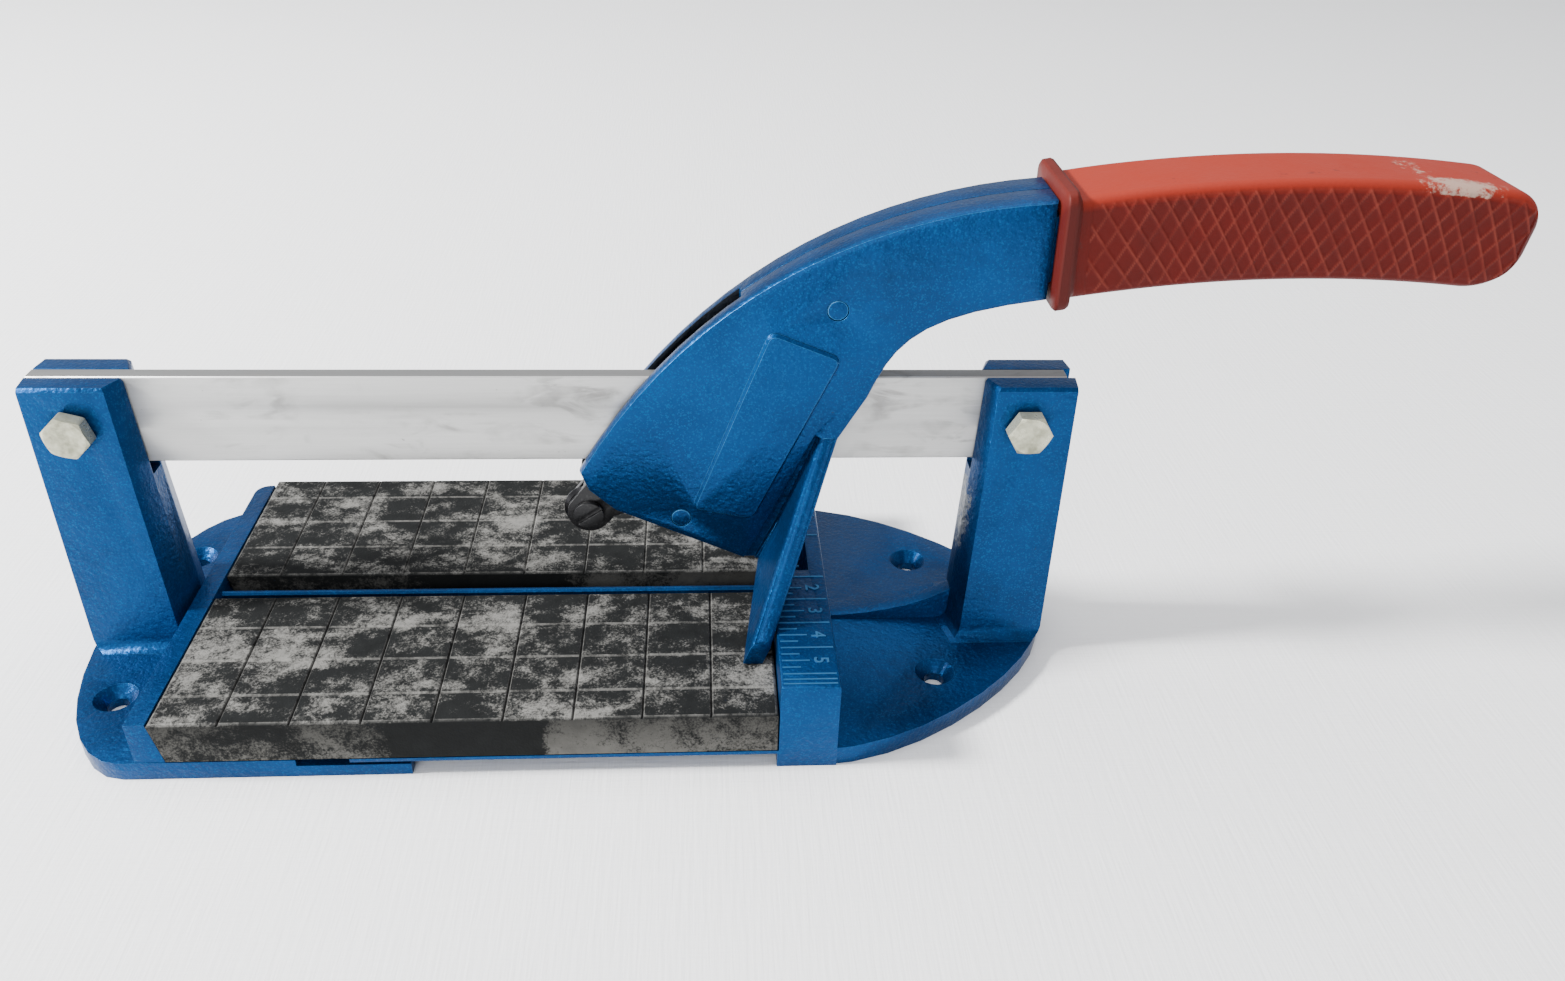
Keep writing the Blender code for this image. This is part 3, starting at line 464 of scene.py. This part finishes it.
def softened(node, name, width, segments, materials, angle=32.0):
    """A copy of a frame node with merged facets, rounded edges and its edges in the last material."""
    shape = bmesh.new()
    shape.from_mesh(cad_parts[node].data)
    bmesh.ops.remove_doubles(shape, verts=shape.verts, dist=0.00001)
    bmesh.ops.dissolve_limit(
        shape, angle_limit=math.radians(0.6), verts=shape.verts, edges=shape.edges, delimit=set()
    )
    mesh = bpy.data.meshes.new(name)
    shape.to_mesh(mesh)
    shape.free()
    for polygon in mesh.polygons:
        polygon.material_index = 0
    thing = link_mesh(name, mesh, materials)
    bevel = thing.modifiers.new("Rounded edges", "BEVEL")
    bevel.width = width
    bevel.segments = segments
    bevel.limit_method = "ANGLE"
    bevel.angle_limit = math.radians(angle)
    bevel.miter_outer = "MITER_ARC"
    bevel.material = len(materials) - 1
    make_plain(thing)
    thing.data.shade_smooth()
    thing.data.set_sharp_from_angle(angle=math.radians(50.0))
    return thing


def finish_piece(thing, body, node=None):
    """Ties a piece to its moving body, and hides the frame node that it stands for."""
    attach(thing, body)
    if node:
        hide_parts(node)


def paint_node(node, material):
    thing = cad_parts[node]
    thing.data.materials.clear()
    thing.data.materials.append(material)
    for polygon in thing.data.polygons:
        polygon.material_index = 0


def skin_rows(shape, rows):
    """Faces between closed rows of vertices."""
    count = len(rows[0])
    for low, high in zip(rows, rows[1:]):
        for k in range(count):
            shape.faces.new((low[k], low[(k + 1) % count], high[(k + 1) % count], high[k]))


def extruded_ring(rings):
    """A closed skin through rings of equal length, with flat ends."""
    shape = bmesh.new()
    rows = [[shape.verts.new(point) for point in ring] for ring in rings]
    skin_rows(shape, rows)
    shape.faces.new(rows[0])
    shape.faces.new(rows[-1])
    return shape


# ---------------------------------------------------------------- settings


def length(name, description, default, low=0.0):
    return FloatProperty(name=name, description=description, unit="LENGTH", default=default, min=low)


class TileCutterSettings(bpy.types.PropertyGroup):
    paint: FloatVectorProperty(
        name="Paint", description="Light tone of the metallic paint", subtype="COLOR", size=3,
        min=0.0, max=1.0, default=(0.0003, 0.041, 0.148),
    )
    paint_dark: FloatVectorProperty(
        name="Paint, deep", description="Deep tone of the metallic paint", subtype="COLOR", size=3,
        min=0.0, max=1.0, default=(0.0001, 0.027, 0.100),
    )
    grip_colour: FloatVectorProperty(
        name="Grip", description="Rubber of the grip", subtype="COLOR", size=3,
        min=0.0, max=1.0, default=(0.080, 0.0034, 0.0015),
    )
    casting_round: length("Casting edges", "Radius of the casting's edges", 0.0009, 0.0001)
    pad_columns: IntProperty(name="Pad columns", description="Squares along a pad", default=9, min=1)
    pad_pitch: length("Column pitch", "Length of a square", 0.01675)
    pad_row: length("Row pitch", "Width of a square", 0.01318)
    pad_undercut: length("Pad undercut", "At the left ends", 0.0022)
    groove_width: length("Groove width", "Of the pads", 0.0009)
    groove_depth: length("Groove depth", "Of the pads", 0.0006)
    tick_width: length("Tick width", "Of the ruler's marks", 0.0005)
    tick_rise: length("Tick height", "Above the fence", 0.00018)
    digit_size: length("Digit size", "Of the ruler's numbers", 0.0052)
    bolt_flats: length("Bolt flats", "Across the hexagon", 0.010)
    bolt_head: length("Bolt head", "Height of the head", 0.004)
    slot_half: length("Slot half width", "Of the open slot in the head", 0.0028)
    slot_end: length("Slot end", "Where the open slot ends along the rail", 0.0660)
    pin_lip: length("Pin lip", "How far the flush pins spread into their gaps", 0.0002)
    diamond_pitch: length("Diamond pitch", "Of the grip's ridges", 0.0038)
    diamond_slant: FloatProperty(
        name="Diamond slant", description="Of the ridges, from the grip's length", subtype="ANGLE",
        default=math.radians(56.0),
    )
    diamond_rise: length("Diamond rise", "Of the ridges", 0.00035)

    def bare_spots(self):
        """Centres and reaches of the places where the casting is rubbed bare."""
        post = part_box("right_clamp_nut")[0]
        low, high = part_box("base_casting")
        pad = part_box("front_pad")
        return (
            ((post.x - 0.0085, -0.001, low.z + 0.042), (0.006, 0.0065, 0.014)),
            ((pad[1].x - 0.022, 0.0, pad[1].z), (0.018, 0.003, 0.0012)),
            ((pad[0].x + 0.03, 0.0, pad[1].z), (0.022, 0.003, 0.0012)),
        )


# ---------------------------------------------------------------- operators


class TILECUTTER_OT_base(bpy.types.Operator):
    """Makes the painted casting with rounded edges"""

    bl_idname = "tilecutter.base"
    bl_label = "Base casting"

    def execute(self, context):
        settings = context.scene.tile_cutter
        paint = worn_casting(settings, "cast_paint_base")
        # The rounded edges get the paint with a painted highlight, a paler blue.
        edges = worn_casting(settings, "cast_paint_base_edges", 0.45)
        base = softened("base_casting", "painted_base", settings.casting_round, 3, (paint, edges))
        finish_piece(base, "base", "base_casting")
        return {"FINISHED"}


class TILECUTTER_OT_pads(bpy.types.Operator):
    """Makes the two rubber pads with their grids of grooves"""

    bl_idname = "tilecutter.pads"
    bl_label = "Rubber pads"

    DARK = (0.007, 0.0075, 0.0075)
    RIM = 0.0007  # width of the sloping edge round a pad and of a square's pale lip
    INNER_GAP = 0.0004  # the rows are counted from this far in from a pad's inner side

    def execute(self, context):
        settings = context.scene.tile_cutter
        top = worn_rubber("pad_top", self.DARK, (0.162, 0.158, 0.147), 1.41)
        side = worn_rubber("pad_side", self.DARK, (0.105, 0.102, 0.093), 1.38, (-0.018, 0.020))
        for node, inward, first in (("front_pad", 1, -0.0003), ("rear_pad", -1, -0.0022)):
            low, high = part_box(node)
            columns = [low.x + first + settings.pad_pitch * k for k in range(settings.pad_columns + 1)]
            inner = high.y if inward > 0 else low.y
            rows = [inner - inward * (settings.pad_row * k + self.INNER_GAP) for k in range(1, 4)]
            pad = self.make_pad(node, low, high, columns, rows, settings, (side, top))
            finish_piece(pad, "base", node)
        return {"FINISHED"}

    def make_pad(self, node, low, high, columns, rows, settings, materials):
        """A block whose top is a grid with a V-shaped groove along each line."""
        half, rim = settings.groove_width / 2, self.RIM

        def stops(first, last, lines):
            places = {first: 0.0, first + rim: 1.0, last - rim: 1.0, last: 0.0}
            for line in lines:
                if first + rim + half < line < last - rim - half:
                    places.update({line - half: 1.0, line: 0.5, line + half: 1.0})
            return sorted(places.items())

        along, across = stops(low.x, high.x, columns), stops(low.y, high.y, rows)
        shape = bmesh.new()
        groove = shape.verts.layers.float.new("groove")
        lip = shape.verts.layers.float.new("lip")
        grid = []
        for x, rise_x in along:
            line = []
            for y, rise_y in across:
                # The groove value is painted shade: full in the grooves across the front pad, a quarter
                # across the rear pad, 0.7 at the pads' edges.
                drop, dark = 0.0, 0.0
                if rise_y == 0.5:
                    drop, dark = settings.groove_depth * 0.6, 0.0
                if rise_x == 0.5:
                    drop, dark = settings.groove_depth, 0.25 if node == "rear_pad" else 1.0
                if 0.0 in (rise_x, rise_y):
                    drop, dark = max(drop, rim * 0.7), 0.7
                vert = shape.verts.new((x, y, high.z - drop))
                vert[groove] = dark
                vert[lip] = 0.0 if dark else 1.0
                line.append(vert)
            grid.append(line)
        for k in range(len(along) - 1):
            for j in range(len(across) - 1):
                corners = (grid[k][j], grid[k + 1][j], grid[k + 1][j + 1], grid[k][j + 1])
                wide = along[k + 1][0] - along[k][0] > settings.groove_width
                deep = across[j + 1][0] - across[j][0] > settings.groove_width
                face = shape.faces.new(corners)
                face.material_index = 1
                if wide and deep:
                    self.inset_square(shape, face, lip)
        rim_edges = [edge for edge in shape.edges if edge.is_boundary]
        made = bmesh.ops.extrude_edge_only(shape, edges=rim_edges)["geom"]
        for face in (item for item in made if isinstance(item, bmesh.types.BMFace)):
            face.material_index = 0
        for vert in (item for item in made if isinstance(item, bmesh.types.BMVert)):
            vert.co.z = low.z
            if vert.co.x < low.x + rim:
                vert.co.x += settings.pad_undercut
            vert[groove] = 0.0
            vert[lip] = 0.0
        bottom = [edge for edge in shape.edges if edge.is_boundary]
        bmesh.ops.holes_fill(shape, edges=bottom, sides=0)
        return from_bmesh(f"grooved_{node}", shape, materials, 25.0)

    def inset_square(self, shape, face, lip):
        """Keeps the pale lip of a square close to its edge."""
        made = bmesh.ops.inset_individual(shape, faces=[face], thickness=self.RIM)
        for vert in face.verts:
            vert[lip] = 0.0
        for ring in made["faces"]:
            ring.material_index = 1


class TILECUTTER_OT_rail(bpy.types.Operator):
    """Makes the guide rail and its clamp bolts"""

    bl_idname = "tilecutter.rail"
    bl_label = "Rail and bolts"

    def execute(self, context):
        settings = context.scene.tile_cutter
        rail = softened("guide_rail", "rail_bar", 0.0003, 2, (rail_steel("rail_bar"),))
        # Painted shade: the top face gets a copy of the steel at 0.4 of its brightness.
        rail.data.materials.append(rail_steel("rail_top", 0.4))
        for polygon in rail.data.polygons:
            polygon.material_index = int(polygon.normal.z > 0.95)
        finish_piece(rail, "base", "guide_rail")
        for side, spin in (("left", math.radians(44.0)), ("right", 0.0)):
            bolt = self.make_bolt(side, spin, settings)
            finish_piece(bolt, "base", f"{side}_clamp_bolt")
            nut = softened(f"{side}_clamp_nut", f"{side}_nut", 0.0004, 2, (zinc_plate(),))
            finish_piece(nut, "base", f"{side}_clamp_nut")
        return {"FINISHED"}

    def make_bolt(self, side, spin, settings):
        """A hexagon bolt whose head has a turned chamfer, with its shank behind."""
        low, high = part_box(f"{side}_clamp_bolt")
        nut_low, nut_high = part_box(f"{side}_clamp_nut")
        centre = (nut_low + nut_high) / 2
        face, flat = low.y, settings.bolt_flats / 2
        count, shank = 60, 0.003
        seat = face + settings.bolt_head

        def ring(radius, depth):
            points = []
            for k in range(count):
                angle = 2 * math.pi * k / count
                r, y = radius(angle), depth(angle)
                points.append((centre.x + r * math.cos(angle), y, centre.z + r * math.sin(angle)))
            return points

        def hexagon(angle):
            sixth = math.pi / 3
            return flat / math.cos((angle - spin) % sixth - sixth / 2)

        def chamfer(angle):
            return face + (hexagon(angle) - flat * 0.97) * 0.55

        shape = extruded_ring([
            ring(lambda a: flat * 0.55, lambda a: face + 0.00015),
            ring(lambda a: flat * 0.8, lambda a: face + 0.00002),
            ring(lambda a: flat * 0.97, lambda a: face),
            ring(hexagon, chamfer),
            ring(hexagon, lambda a: seat),
            ring(lambda a: shank, lambda a: seat),
            ring(lambda a: shank, lambda a: high.y),
        ])
        return from_bmesh(f"{side}_bolt", shape, (zinc_plate(),), 20.0)


class TILECUTTER_OT_carriage(bpy.types.Operator):
    """Gives the pieces that ride on the rail their finish"""

    bl_idname = "tilecutter.carriage"
    bl_label = "Carriage"

    def execute(self, context):
        bright = oiled_metal("pin_bright", (0.45, 0.45, 0.44), (0.2, 0.2, 0.19), 0.35, 0.95)
        bronze = oiled_metal("shoe_bronze", (0.36, 0.22, 0.09), (0.5, 0.36, 0.18), 0.42, 0.9)
        paint_node("rail_saddle", black_oxide())
        paint_node("keeper_pin", bright)
        paint_node("rail_shoe", bronze)
        return {"FINISHED"}


class TILECUTTER_OT_head(bpy.types.Operator):
    """Makes the two painted halves of the lever and their flush pins"""

    bl_idname = "tilecutter.head"
    bl_label = "Lever head"

    def execute(self, context):
        settings = context.scene.tile_cutter
        paint = head_paint(settings, "cast_paint_head")
        # The rounded edges get the paint with a painted highlight, a paler blue.
        edges = head_paint(settings, "cast_paint_head_edges", 0.45)
        for node, name in (("head_front_half", "front_lever"), ("head_rear_half", "rear_lever")):
            half = softened(node, name, 0.0005, 2, (paint, edges), 40.0)
            finish_piece(half, "head", node)
        # The pins' rounded rims get the paint with a strong painted highlight, a paler blue.
        lip = raised_paint(settings)
        for node in ("pivot_pin", "head_rivet"):
            pin = softened(node, f"flush_{node}", 0.0003, 2, (cast_paint(settings), lip))
            low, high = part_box(node)
            middle = (low + high) / 2
            for vert in pin.data.vertices:
                out = Vector((vert.co.x - middle.x, 0.0, vert.co.z - middle.z))
                vert.co += out.normalized() * settings.pin_lip
            finish_piece(pin, "head", node)
        return {"FINISHED"}


class TILECUTTER_OT_wheel(bpy.types.Operator):
    """Makes the scoring wheel, its holder and its screw"""

    bl_idname = "tilecutter.wheel"
    bl_label = "Scoring wheel"

    def execute(self, context):
        rim = oiled_metal("wheel_rim", (0.03, 0.03, 0.032), (0.24, 0.24, 0.24), 0.3, 0.85)
        for node in ("wheel_holder", "wheel_axle_screw", "wheel_axle_nut", "holder_pin"):
            piece = softened(node, f"oiled_{node}", 0.00035, 2, (black_oxide(),))
            finish_piece(piece, "head", node)
        paint_node("scoring_wheel", rim)
        return {"FINISHED"}


class TILECUTTER_OT_grip(bpy.types.Operator):
    """Makes the rubber grip with its flange and diamond ridges"""

    bl_idname = "tilecutter.grip"
    bl_label = "Rubber grip"

    START = Vector((0.1397, 0.0, 0.1192))
    PITCH = math.radians(10.2)
    LEAN = math.radians(8.8)
    LEAN_END = 0.020
    BEND = 0.370
    LENGTH = 0.1154
    WIDE = 0.0246
    CORNER = 0.003
    UNDER, TOP, SIDE = (0.0140, 0.0125), (0.0100, 0.0100), (0.0050, 0.0050)
    FLANGE_DROP = 0.001
    MOUTH = (
        (0.0, 0.0290), (0.0006, 0.0300), (0.0025, 0.0300),
        (0.0032, 0.0294), (0.0036, 0.0268), (0.0044, 0.0256),
    )
    STEPS, END_STEPS, ROUND = 280, 60, 180  # sections along, in the end, and points round
    BORE_SHARE, BORE_DEPTH = 0.62, 0.012
    PATTERN_START, PATTERN_STOP = 0.007, 0.003  # from the mouth and from the end
    RIDGE_HALF = 0.0004

    def line(self, distance):
        """The grip's middle line: its place and its pitch."""
        pitch = self.PITCH - distance / self.BEND
        x = self.START.x + self.BEND * (math.sin(self.PITCH) - math.sin(pitch))
        z = self.START.z + self.BEND * (math.cos(pitch) - math.cos(self.PITCH))
        return Vector((x, 0, z)), pitch

    def nose(self, distance, size):
        """How much the round of the end takes off here."""
        length, height = size
        share = min(max((distance - self.LENGTH + length) / length, 0.0), 1.0)
        return height * (1 - math.sqrt(1 - share * share))

    def section(self, distance):
        """Width, low side, high side and corner radius at this distance."""
        for low, high in zip(self.MOUTH, self.MOUTH[1:]):
            if distance <= high[0]:
                share = (distance - low[0]) / (high[0] - low[0])
                size = low[1] + (high[1] - low[1]) * share
                return size, self.FLANGE_DROP - size / 2, size / 2, self.CORNER
        low = -self.WIDE / 2 + self.nose(distance, self.UNDER)
        high = self.WIDE / 2 - self.nose(distance, self.TOP)
        width = self.WIDE - 2 * self.nose(distance, self.SIDE)
        return width, low, high, min(self.CORNER, (high - low) / 2.2)

    def outline(self, width, low, high, radius, count):
        """Points round a rounded rectangle, with their outward directions, evenly spaced."""
        w, h, middle = width / 2 - radius, (high - low) / 2 - radius, (high + low) / 2
        sides = (2 * h, radius * math.pi / 2, 2 * w, radius * math.pi / 2) * 2
        total = sum(sides)
        corners = ((w, h, 0), (-w, h, 90), (-w, -h, 180), (w, -h, 270))
        points = []
        for k in range(count):
            left, side = total * k / count, 0
            while left > sides[side]:
                left -= sides[side]
                side += 1
            quarter = side // 2
            if side % 2:
                y, z, start = corners[quarter]
                angle = math.radians(start) + left / radius
                out = Vector((0, math.cos(angle), math.sin(angle)))
                place = Vector((0, y, z)) + out * radius
            else:
                angle = math.radians(90 * quarter)
                out = Vector((0, math.cos(angle), math.sin(angle)))
                along = Vector((0, -out.z, out.y))
                reach = w if quarter % 2 == 0 else h
                place = out * (reach + radius) + along * (left - sides[side] / 2)
            points.append((place + Vector((0, 0, middle)), out))
        return points

    def lean(self, distance):
        """How much further the sections lean back close to the flange."""
        return self.LEAN * max(0.0, 1.0 - max(distance, 0.0) / self.LEAN_END)

    def execute(self, context):
        settings = context.scene.tile_cutter
        shape = bmesh.new()
        layers = {name: shape.verts.layers.float.new(name) for name in ("ridge", "top", "scuff", "rim")}
        bend = self.LENGTH - self.UNDER[0]
        places = [bend * k / self.STEPS for k in range(self.STEPS + 1)]
        for k in range(1, self.END_STEPS + 1):
            places.append(bend + self.UNDER[0] * math.sin(math.pi / 2 * k / self.END_STEPS))
        distances = sorted({row[0] for row in self.MOUTH} | set(places))
        rows = []
        for distance in distances:
            centre, pitch = self.line(distance)
            turn = Matrix.Rotation(self.lean(distance) - pitch, 3, "Y")
            row = []
            on_flange = distance < self.MOUTH[-1][0]
            for offset, out in self.outline(*self.section(distance), self.ROUND):
                rise, sided = self.ridge(distance, offset, settings), self.sided(distance, out)
                sunk = (1 - rise) * settings.diamond_rise * sided
                vert = shape.verts.new(centre + turn @ (offset - out * sunk))
                vert[layers["ridge"]] = rise * sided
                # The top value is painted light from above, at 0.35 on the flange.
                vert[layers["top"]] = max(0.0, out.z) * (0.35 if on_flange else 1.0)
                vert[layers["scuff"]] = self.scuff(distance, offset, out)
                vert[layers["rim"]] = float(on_flange)
                row.append(vert)
            rows.append(row)
        skin_rows(shape, rows)
        shape.faces.new(rows[-1])
        centre, pitch = self.line(0.0)
        for vert in self.extrude_open_edge(shape):
            vert.co = centre + (vert.co - centre) * self.BORE_SHARE
        inward = Vector((math.cos(pitch), 0, math.sin(pitch))) * self.BORE_DEPTH
        for vert in self.extrude_open_edge(shape):
            vert.co += inward
        bmesh.ops.holes_fill(shape, edges=[e for e in shape.edges if e.is_boundary], sides=0)
        grip = from_bmesh("red_grip", shape, (grip_rubber(settings),), 60.0)
        finish_piece(grip, "head", "rubber_grip")
        return {"FINISHED"}

    def extrude_open_edge(self, shape):
        """Extrudes the open edge in place, and returns the new vertices."""
        made = bmesh.ops.extrude_edge_only(shape, edges=[e for e in shape.edges if e.is_boundary])
        return [item for item in made["geom"] if isinstance(item, bmesh.types.BMVert)]

    def sided(self, distance, out):
        """1 on the two patterned sides, 0 elsewhere."""
        on_length = self.PATTERN_START < distance < self.LENGTH - self.PATTERN_STOP
        return float(abs(out.y) > 0.9 and on_length)

    def scuff(self, distance, offset, out):
        """The whitish scuffed place near the end, and faint dust along the far edge of the top."""
        spot = ((distance - 0.093) / 0.012) ** 2 + ((offset.y + 0.0095) / 0.0055) ** 2
        streak = ((distance - 0.086) / 0.007) ** 2 + (offset.y / 0.02) ** 2
        dust = 0.34 - abs(offset.y - 0.0105) / 0.006 - max(0.0, 0.055 - distance) / 0.05
        return max(0.0, 1 - spot, 0.4 - streak, dust) * float(out.z > 0.2)

    def ridge(self, distance, offset, settings):
        """How high the diamond ridges are here, 0 to 1."""
        pitch = settings.diamond_pitch * (1.25 - 0.25 * min(1.0, distance / 0.05))
        highest = 0.0
        for slant in (settings.diamond_slant, -settings.diamond_slant):
            place = distance * math.sin(slant) + offset.z * math.cos(slant)
            away = abs((place / pitch + 0.5) % 1.0 - 0.5) * pitch
            highest = max(highest, 1 - away / self.RIDGE_HALF)
        return highest


class TILECUTTER_OT_ruler(bpy.types.Operator):
    """Makes the raised marks and numbers of the ruler on the fence"""

    bl_idname = "tilecutter.ruler"
    bl_label = "Ruler"

    MARKS_FROM, DIGITS_AT = 0.0011, 0.0108  # past the pads' right ends
    RISE = 0.0085  # of the fence's top above the pads
    SUNK = 0.00005  # how far the marks reach into the fence
    DIGIT_PITCH, DIGIT_SHIFT = 0.010, 0.005

    def execute(self, context):
        settings = context.scene.tile_cutter
        # The marks and numbers get the paint with a strong painted highlight, a paler blue.
        paint = raised_paint(settings)
        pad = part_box("front_pad")[1]
        top = pad.z + self.RISE
        rows = (
            ("short_marks", 0.0025, 0.005, 10, 0.0046),
            ("medium_marks", 0.005, 0.010, 5, 0.0070),
            ("long_marks", 0.010, 0.010, 5, 0.0132),
            ("end_marks", 0.052, 0.0016, 2, 0.0132),
        )
        for name, start, pitch, count, length in rows:
            for side in (-1, 1):
                tree = self.mark_tree(paint)
                label = f"{name}_{'front' if side < 0 else 'rear'}"
                holder = link_mesh(label, bpy.data.meshes.new(label), (paint,))
                step = holder.modifiers.new("Marks", "NODES")
                step.node_group = tree
                values = {
                    "Count": count, "Pitch": side * pitch, "Start": side * start,
                    "Left": pad.x + self.MARKS_FROM, "Length": length, "Width": settings.tick_width,
                    "Height": settings.tick_rise, "Top": top - self.SUNK,
                }
                for item in tree.interface.items_tree:
                    if item.in_out == "INPUT" and item.name in values:
                        step[item.identifier] = values[item.name]
                make_plain(holder)
                finish_piece(holder, "base", None)
        for number in (2, 3, 4, 5):
            for side in (-1, 1):
                self.make_digit(number, side, pad.x + self.DIGITS_AT, top, settings, paint)
        return {"FINISHED"}

    def mark_tree(self, material):
        """A row of raised bars across the fence, from named sizes."""
        tree = bpy.data.node_groups.new("ruler_marks", "GeometryNodeTree")
        tree.interface.new_socket("Geometry", in_out="INPUT", socket_type="NodeSocketGeometry")
        tree.interface.new_socket("Count", in_out="INPUT", socket_type="NodeSocketInt")
        for name in ("Pitch", "Start", "Left", "Length", "Width", "Height", "Top"):
            tree.interface.new_socket(name, in_out="INPUT", socket_type="NodeSocketFloat")
        tree.interface.new_socket("Geometry", in_out="OUTPUT", socket_type="NodeSocketGeometry")
        kit = Shader(tree)
        given = kit.add("NodeGroupInput").outputs
        middle = kit.scaled(given["Length"], 0.5, given["Left"])
        first = kit.add("ShaderNodeCombineXYZ", {"X": middle, "Y": given["Start"], "Z": given["Top"]})
        step = kit.add("ShaderNodeCombineXYZ", {"Y": given["Pitch"]})
        line = kit.add(
            "GeometryNodeMeshLine",
            {"Count": given["Count"], "Start Location": first.outputs[0], "Offset": step.outputs[0]},
        )
        size = kit.add("ShaderNodeCombineXYZ", {"X": given["Length"], "Y": given["Width"]})
        kit.feed(size.inputs["Z"], kit.math("MULTIPLY", given["Height"], 2.0))
        bar = kit.add("GeometryNodeMeshCube", {"Size": size.outputs[0]})
        copies = kit.add(
            "GeometryNodeInstanceOnPoints",
            {"Points": line.outputs["Mesh"], "Instance": bar.outputs["Mesh"]},
        )
        real = kit.add("GeometryNodeRealizeInstances", {"Geometry": copies.outputs["Instances"]})
        finish = kit.add(
            "GeometryNodeSetMaterial", {"Geometry": real.outputs["Geometry"], "Material": material}
        )
        kit.add("NodeGroupOutput", {"Geometry": finish.outputs["Geometry"]})
        return tree

    def make_digit(self, number, side, x, top, settings, material):
        """A raised number beside its centimetre mark, read from the right-hand end."""
        curve = bpy.data.curves.new(f"digit_{number}", "FONT")
        curve.body = str(number)
        curve.size = settings.digit_size
        curve.extrude = settings.tick_rise
        curve.offset = 0.00006
        curve.align_x, curve.align_y = "CENTER", "CENTER"
        text = bpy.data.objects.new("digit", curve)
        bpy.context.scene.collection.objects.link(text)
        bpy.context.view_layer.update()
        graph = bpy.context.evaluated_depsgraph_get()
        mesh = bpy.data.meshes.new_from_object(text.evaluated_get(graph))
        bpy.data.objects.remove(text)
        y = side * (self.DIGIT_PITCH * number - self.DIGIT_SHIFT)
        place = Matrix.Translation((x, y, top))
        mesh.transform(place @ Matrix.Rotation(math.radians(-90), 4, "Z"))
        label = f"digit_{number}_{'front' if side < 0 else 'rear'}"
        digit = link_mesh(label, mesh, (material,))
        finish_piece(digit, "base", None)


class TILECUTTER_OT_stage(bpy.types.Operator):
    """Makes the floor, the lights and the camera"""

    bl_idname = "tilecutter.stage"
    bl_label = "Stage"

    def execute(self, context):
        self.make_floor()
        self.make_lights()
        self.make_camera()
        return {"FINISHED"}

    def make_floor(self):
        shape = bmesh.new()
        bmesh.ops.create_grid(shape, x_segments=1, y_segments=1, size=2.5)
        floor = from_bmesh("floor", shape, (paper_floor(),))
        world = bpy.data.worlds.new("studio")
        world.use_nodes = True
        sky = world.node_tree.nodes["Background"]
        sky.inputs["Color"].default_value = (0.93, 0.95, 1.0, 1)
        sky.inputs["Strength"].default_value = 0.78
        bpy.context.scene.world = world

    def make_lights(self):
        lights = (
            ("window", (-1.30, -0.06, 1.02), (0.05, 0.0, 0.02), 0.30, 80.0),
            ("ceiling", (0.0, 0.35, 1.5), (0.05, 0.0, 0.0), 1.5, 15.0),
            ("front_fill", (-0.35, -1.3, 0.65), (0.0, 0.0, 0.03), 1.0, 11.0),
        )
        for name, place, target, size, power in lights:
            data = bpy.data.lights.new(name, "AREA")
            data.shape = "DISK"
            data.size = size
            data.energy = power
            light = bpy.data.objects.new(name, data)
            light.location = place
            light.rotation_euler = (Vector(target) - Vector(place)).to_track_quat("-Z", "Y").to_euler()
            bpy.context.scene.collection.objects.link(light)

    def make_camera(self):
        data = bpy.data.cameras.new("view")
        data.lens = 28.243
        data.sensor_width = 36.0
        data.clip_start = 0.01
        camera = bpy.data.objects.new("view", data)
        down, aside, roll = math.radians(32.179), math.radians(4.422), math.radians(2.008)
        turn = Matrix.Rotation(-aside, 4, "Z") @ Matrix.Rotation(math.pi / 2 - down, 4, "X")
        place = Matrix.Translation((0.056624, -0.278743, 0.223148))
        camera.matrix_world = place @ turn @ Matrix.Rotation(roll, 4, "Z")
        bpy.context.scene.collection.objects.link(camera)
        bpy.context.scene.camera = camera


STEPS = (
    TILECUTTER_OT_stage, TILECUTTER_OT_base, TILECUTTER_OT_pads, TILECUTTER_OT_rail,
    TILECUTTER_OT_carriage, TILECUTTER_OT_head, TILECUTTER_OT_wheel, TILECUTTER_OT_grip,
    TILECUTTER_OT_ruler,
)


class TILECUTTER_PT_panel(bpy.types.Panel):
    """Lists the steps and the settings"""

    bl_label = "Tile cutter"
    bl_idname = "TILECUTTER_PT_panel"
    bl_space_type = "VIEW_3D"
    bl_region_type = "UI"
    bl_category = "Tile cutter"

    def draw(self, context):
        for step in STEPS:
            self.layout.operator(step.bl_idname)
        for name in TileCutterSettings.__annotations__:
            self.layout.prop(context.scene.tile_cutter, name)


CLASSES = (TileCutterSettings, *STEPS, TILECUTTER_PT_panel)


def register():
    for item in CLASSES:
        bpy.utils.register_class(item)
    bpy.types.Scene.tile_cutter = PointerProperty(type=TileCutterSettings)


def unregister():
    del bpy.types.Scene.tile_cutter
    for item in reversed(CLASSES):
        bpy.utils.unregister_class(item)


def main():
    register()
    bpy.ops.tilecutter.stage()
    bpy.ops.tilecutter.base()
    bpy.ops.tilecutter.pads()
    bpy.ops.tilecutter.rail()
    bpy.ops.tilecutter.carriage()
    bpy.ops.tilecutter.head()
    bpy.ops.tilecutter.wheel()
    bpy.ops.tilecutter.grip()
    bpy.ops.tilecutter.ruler()


if __name__ == "__main__":
    main()
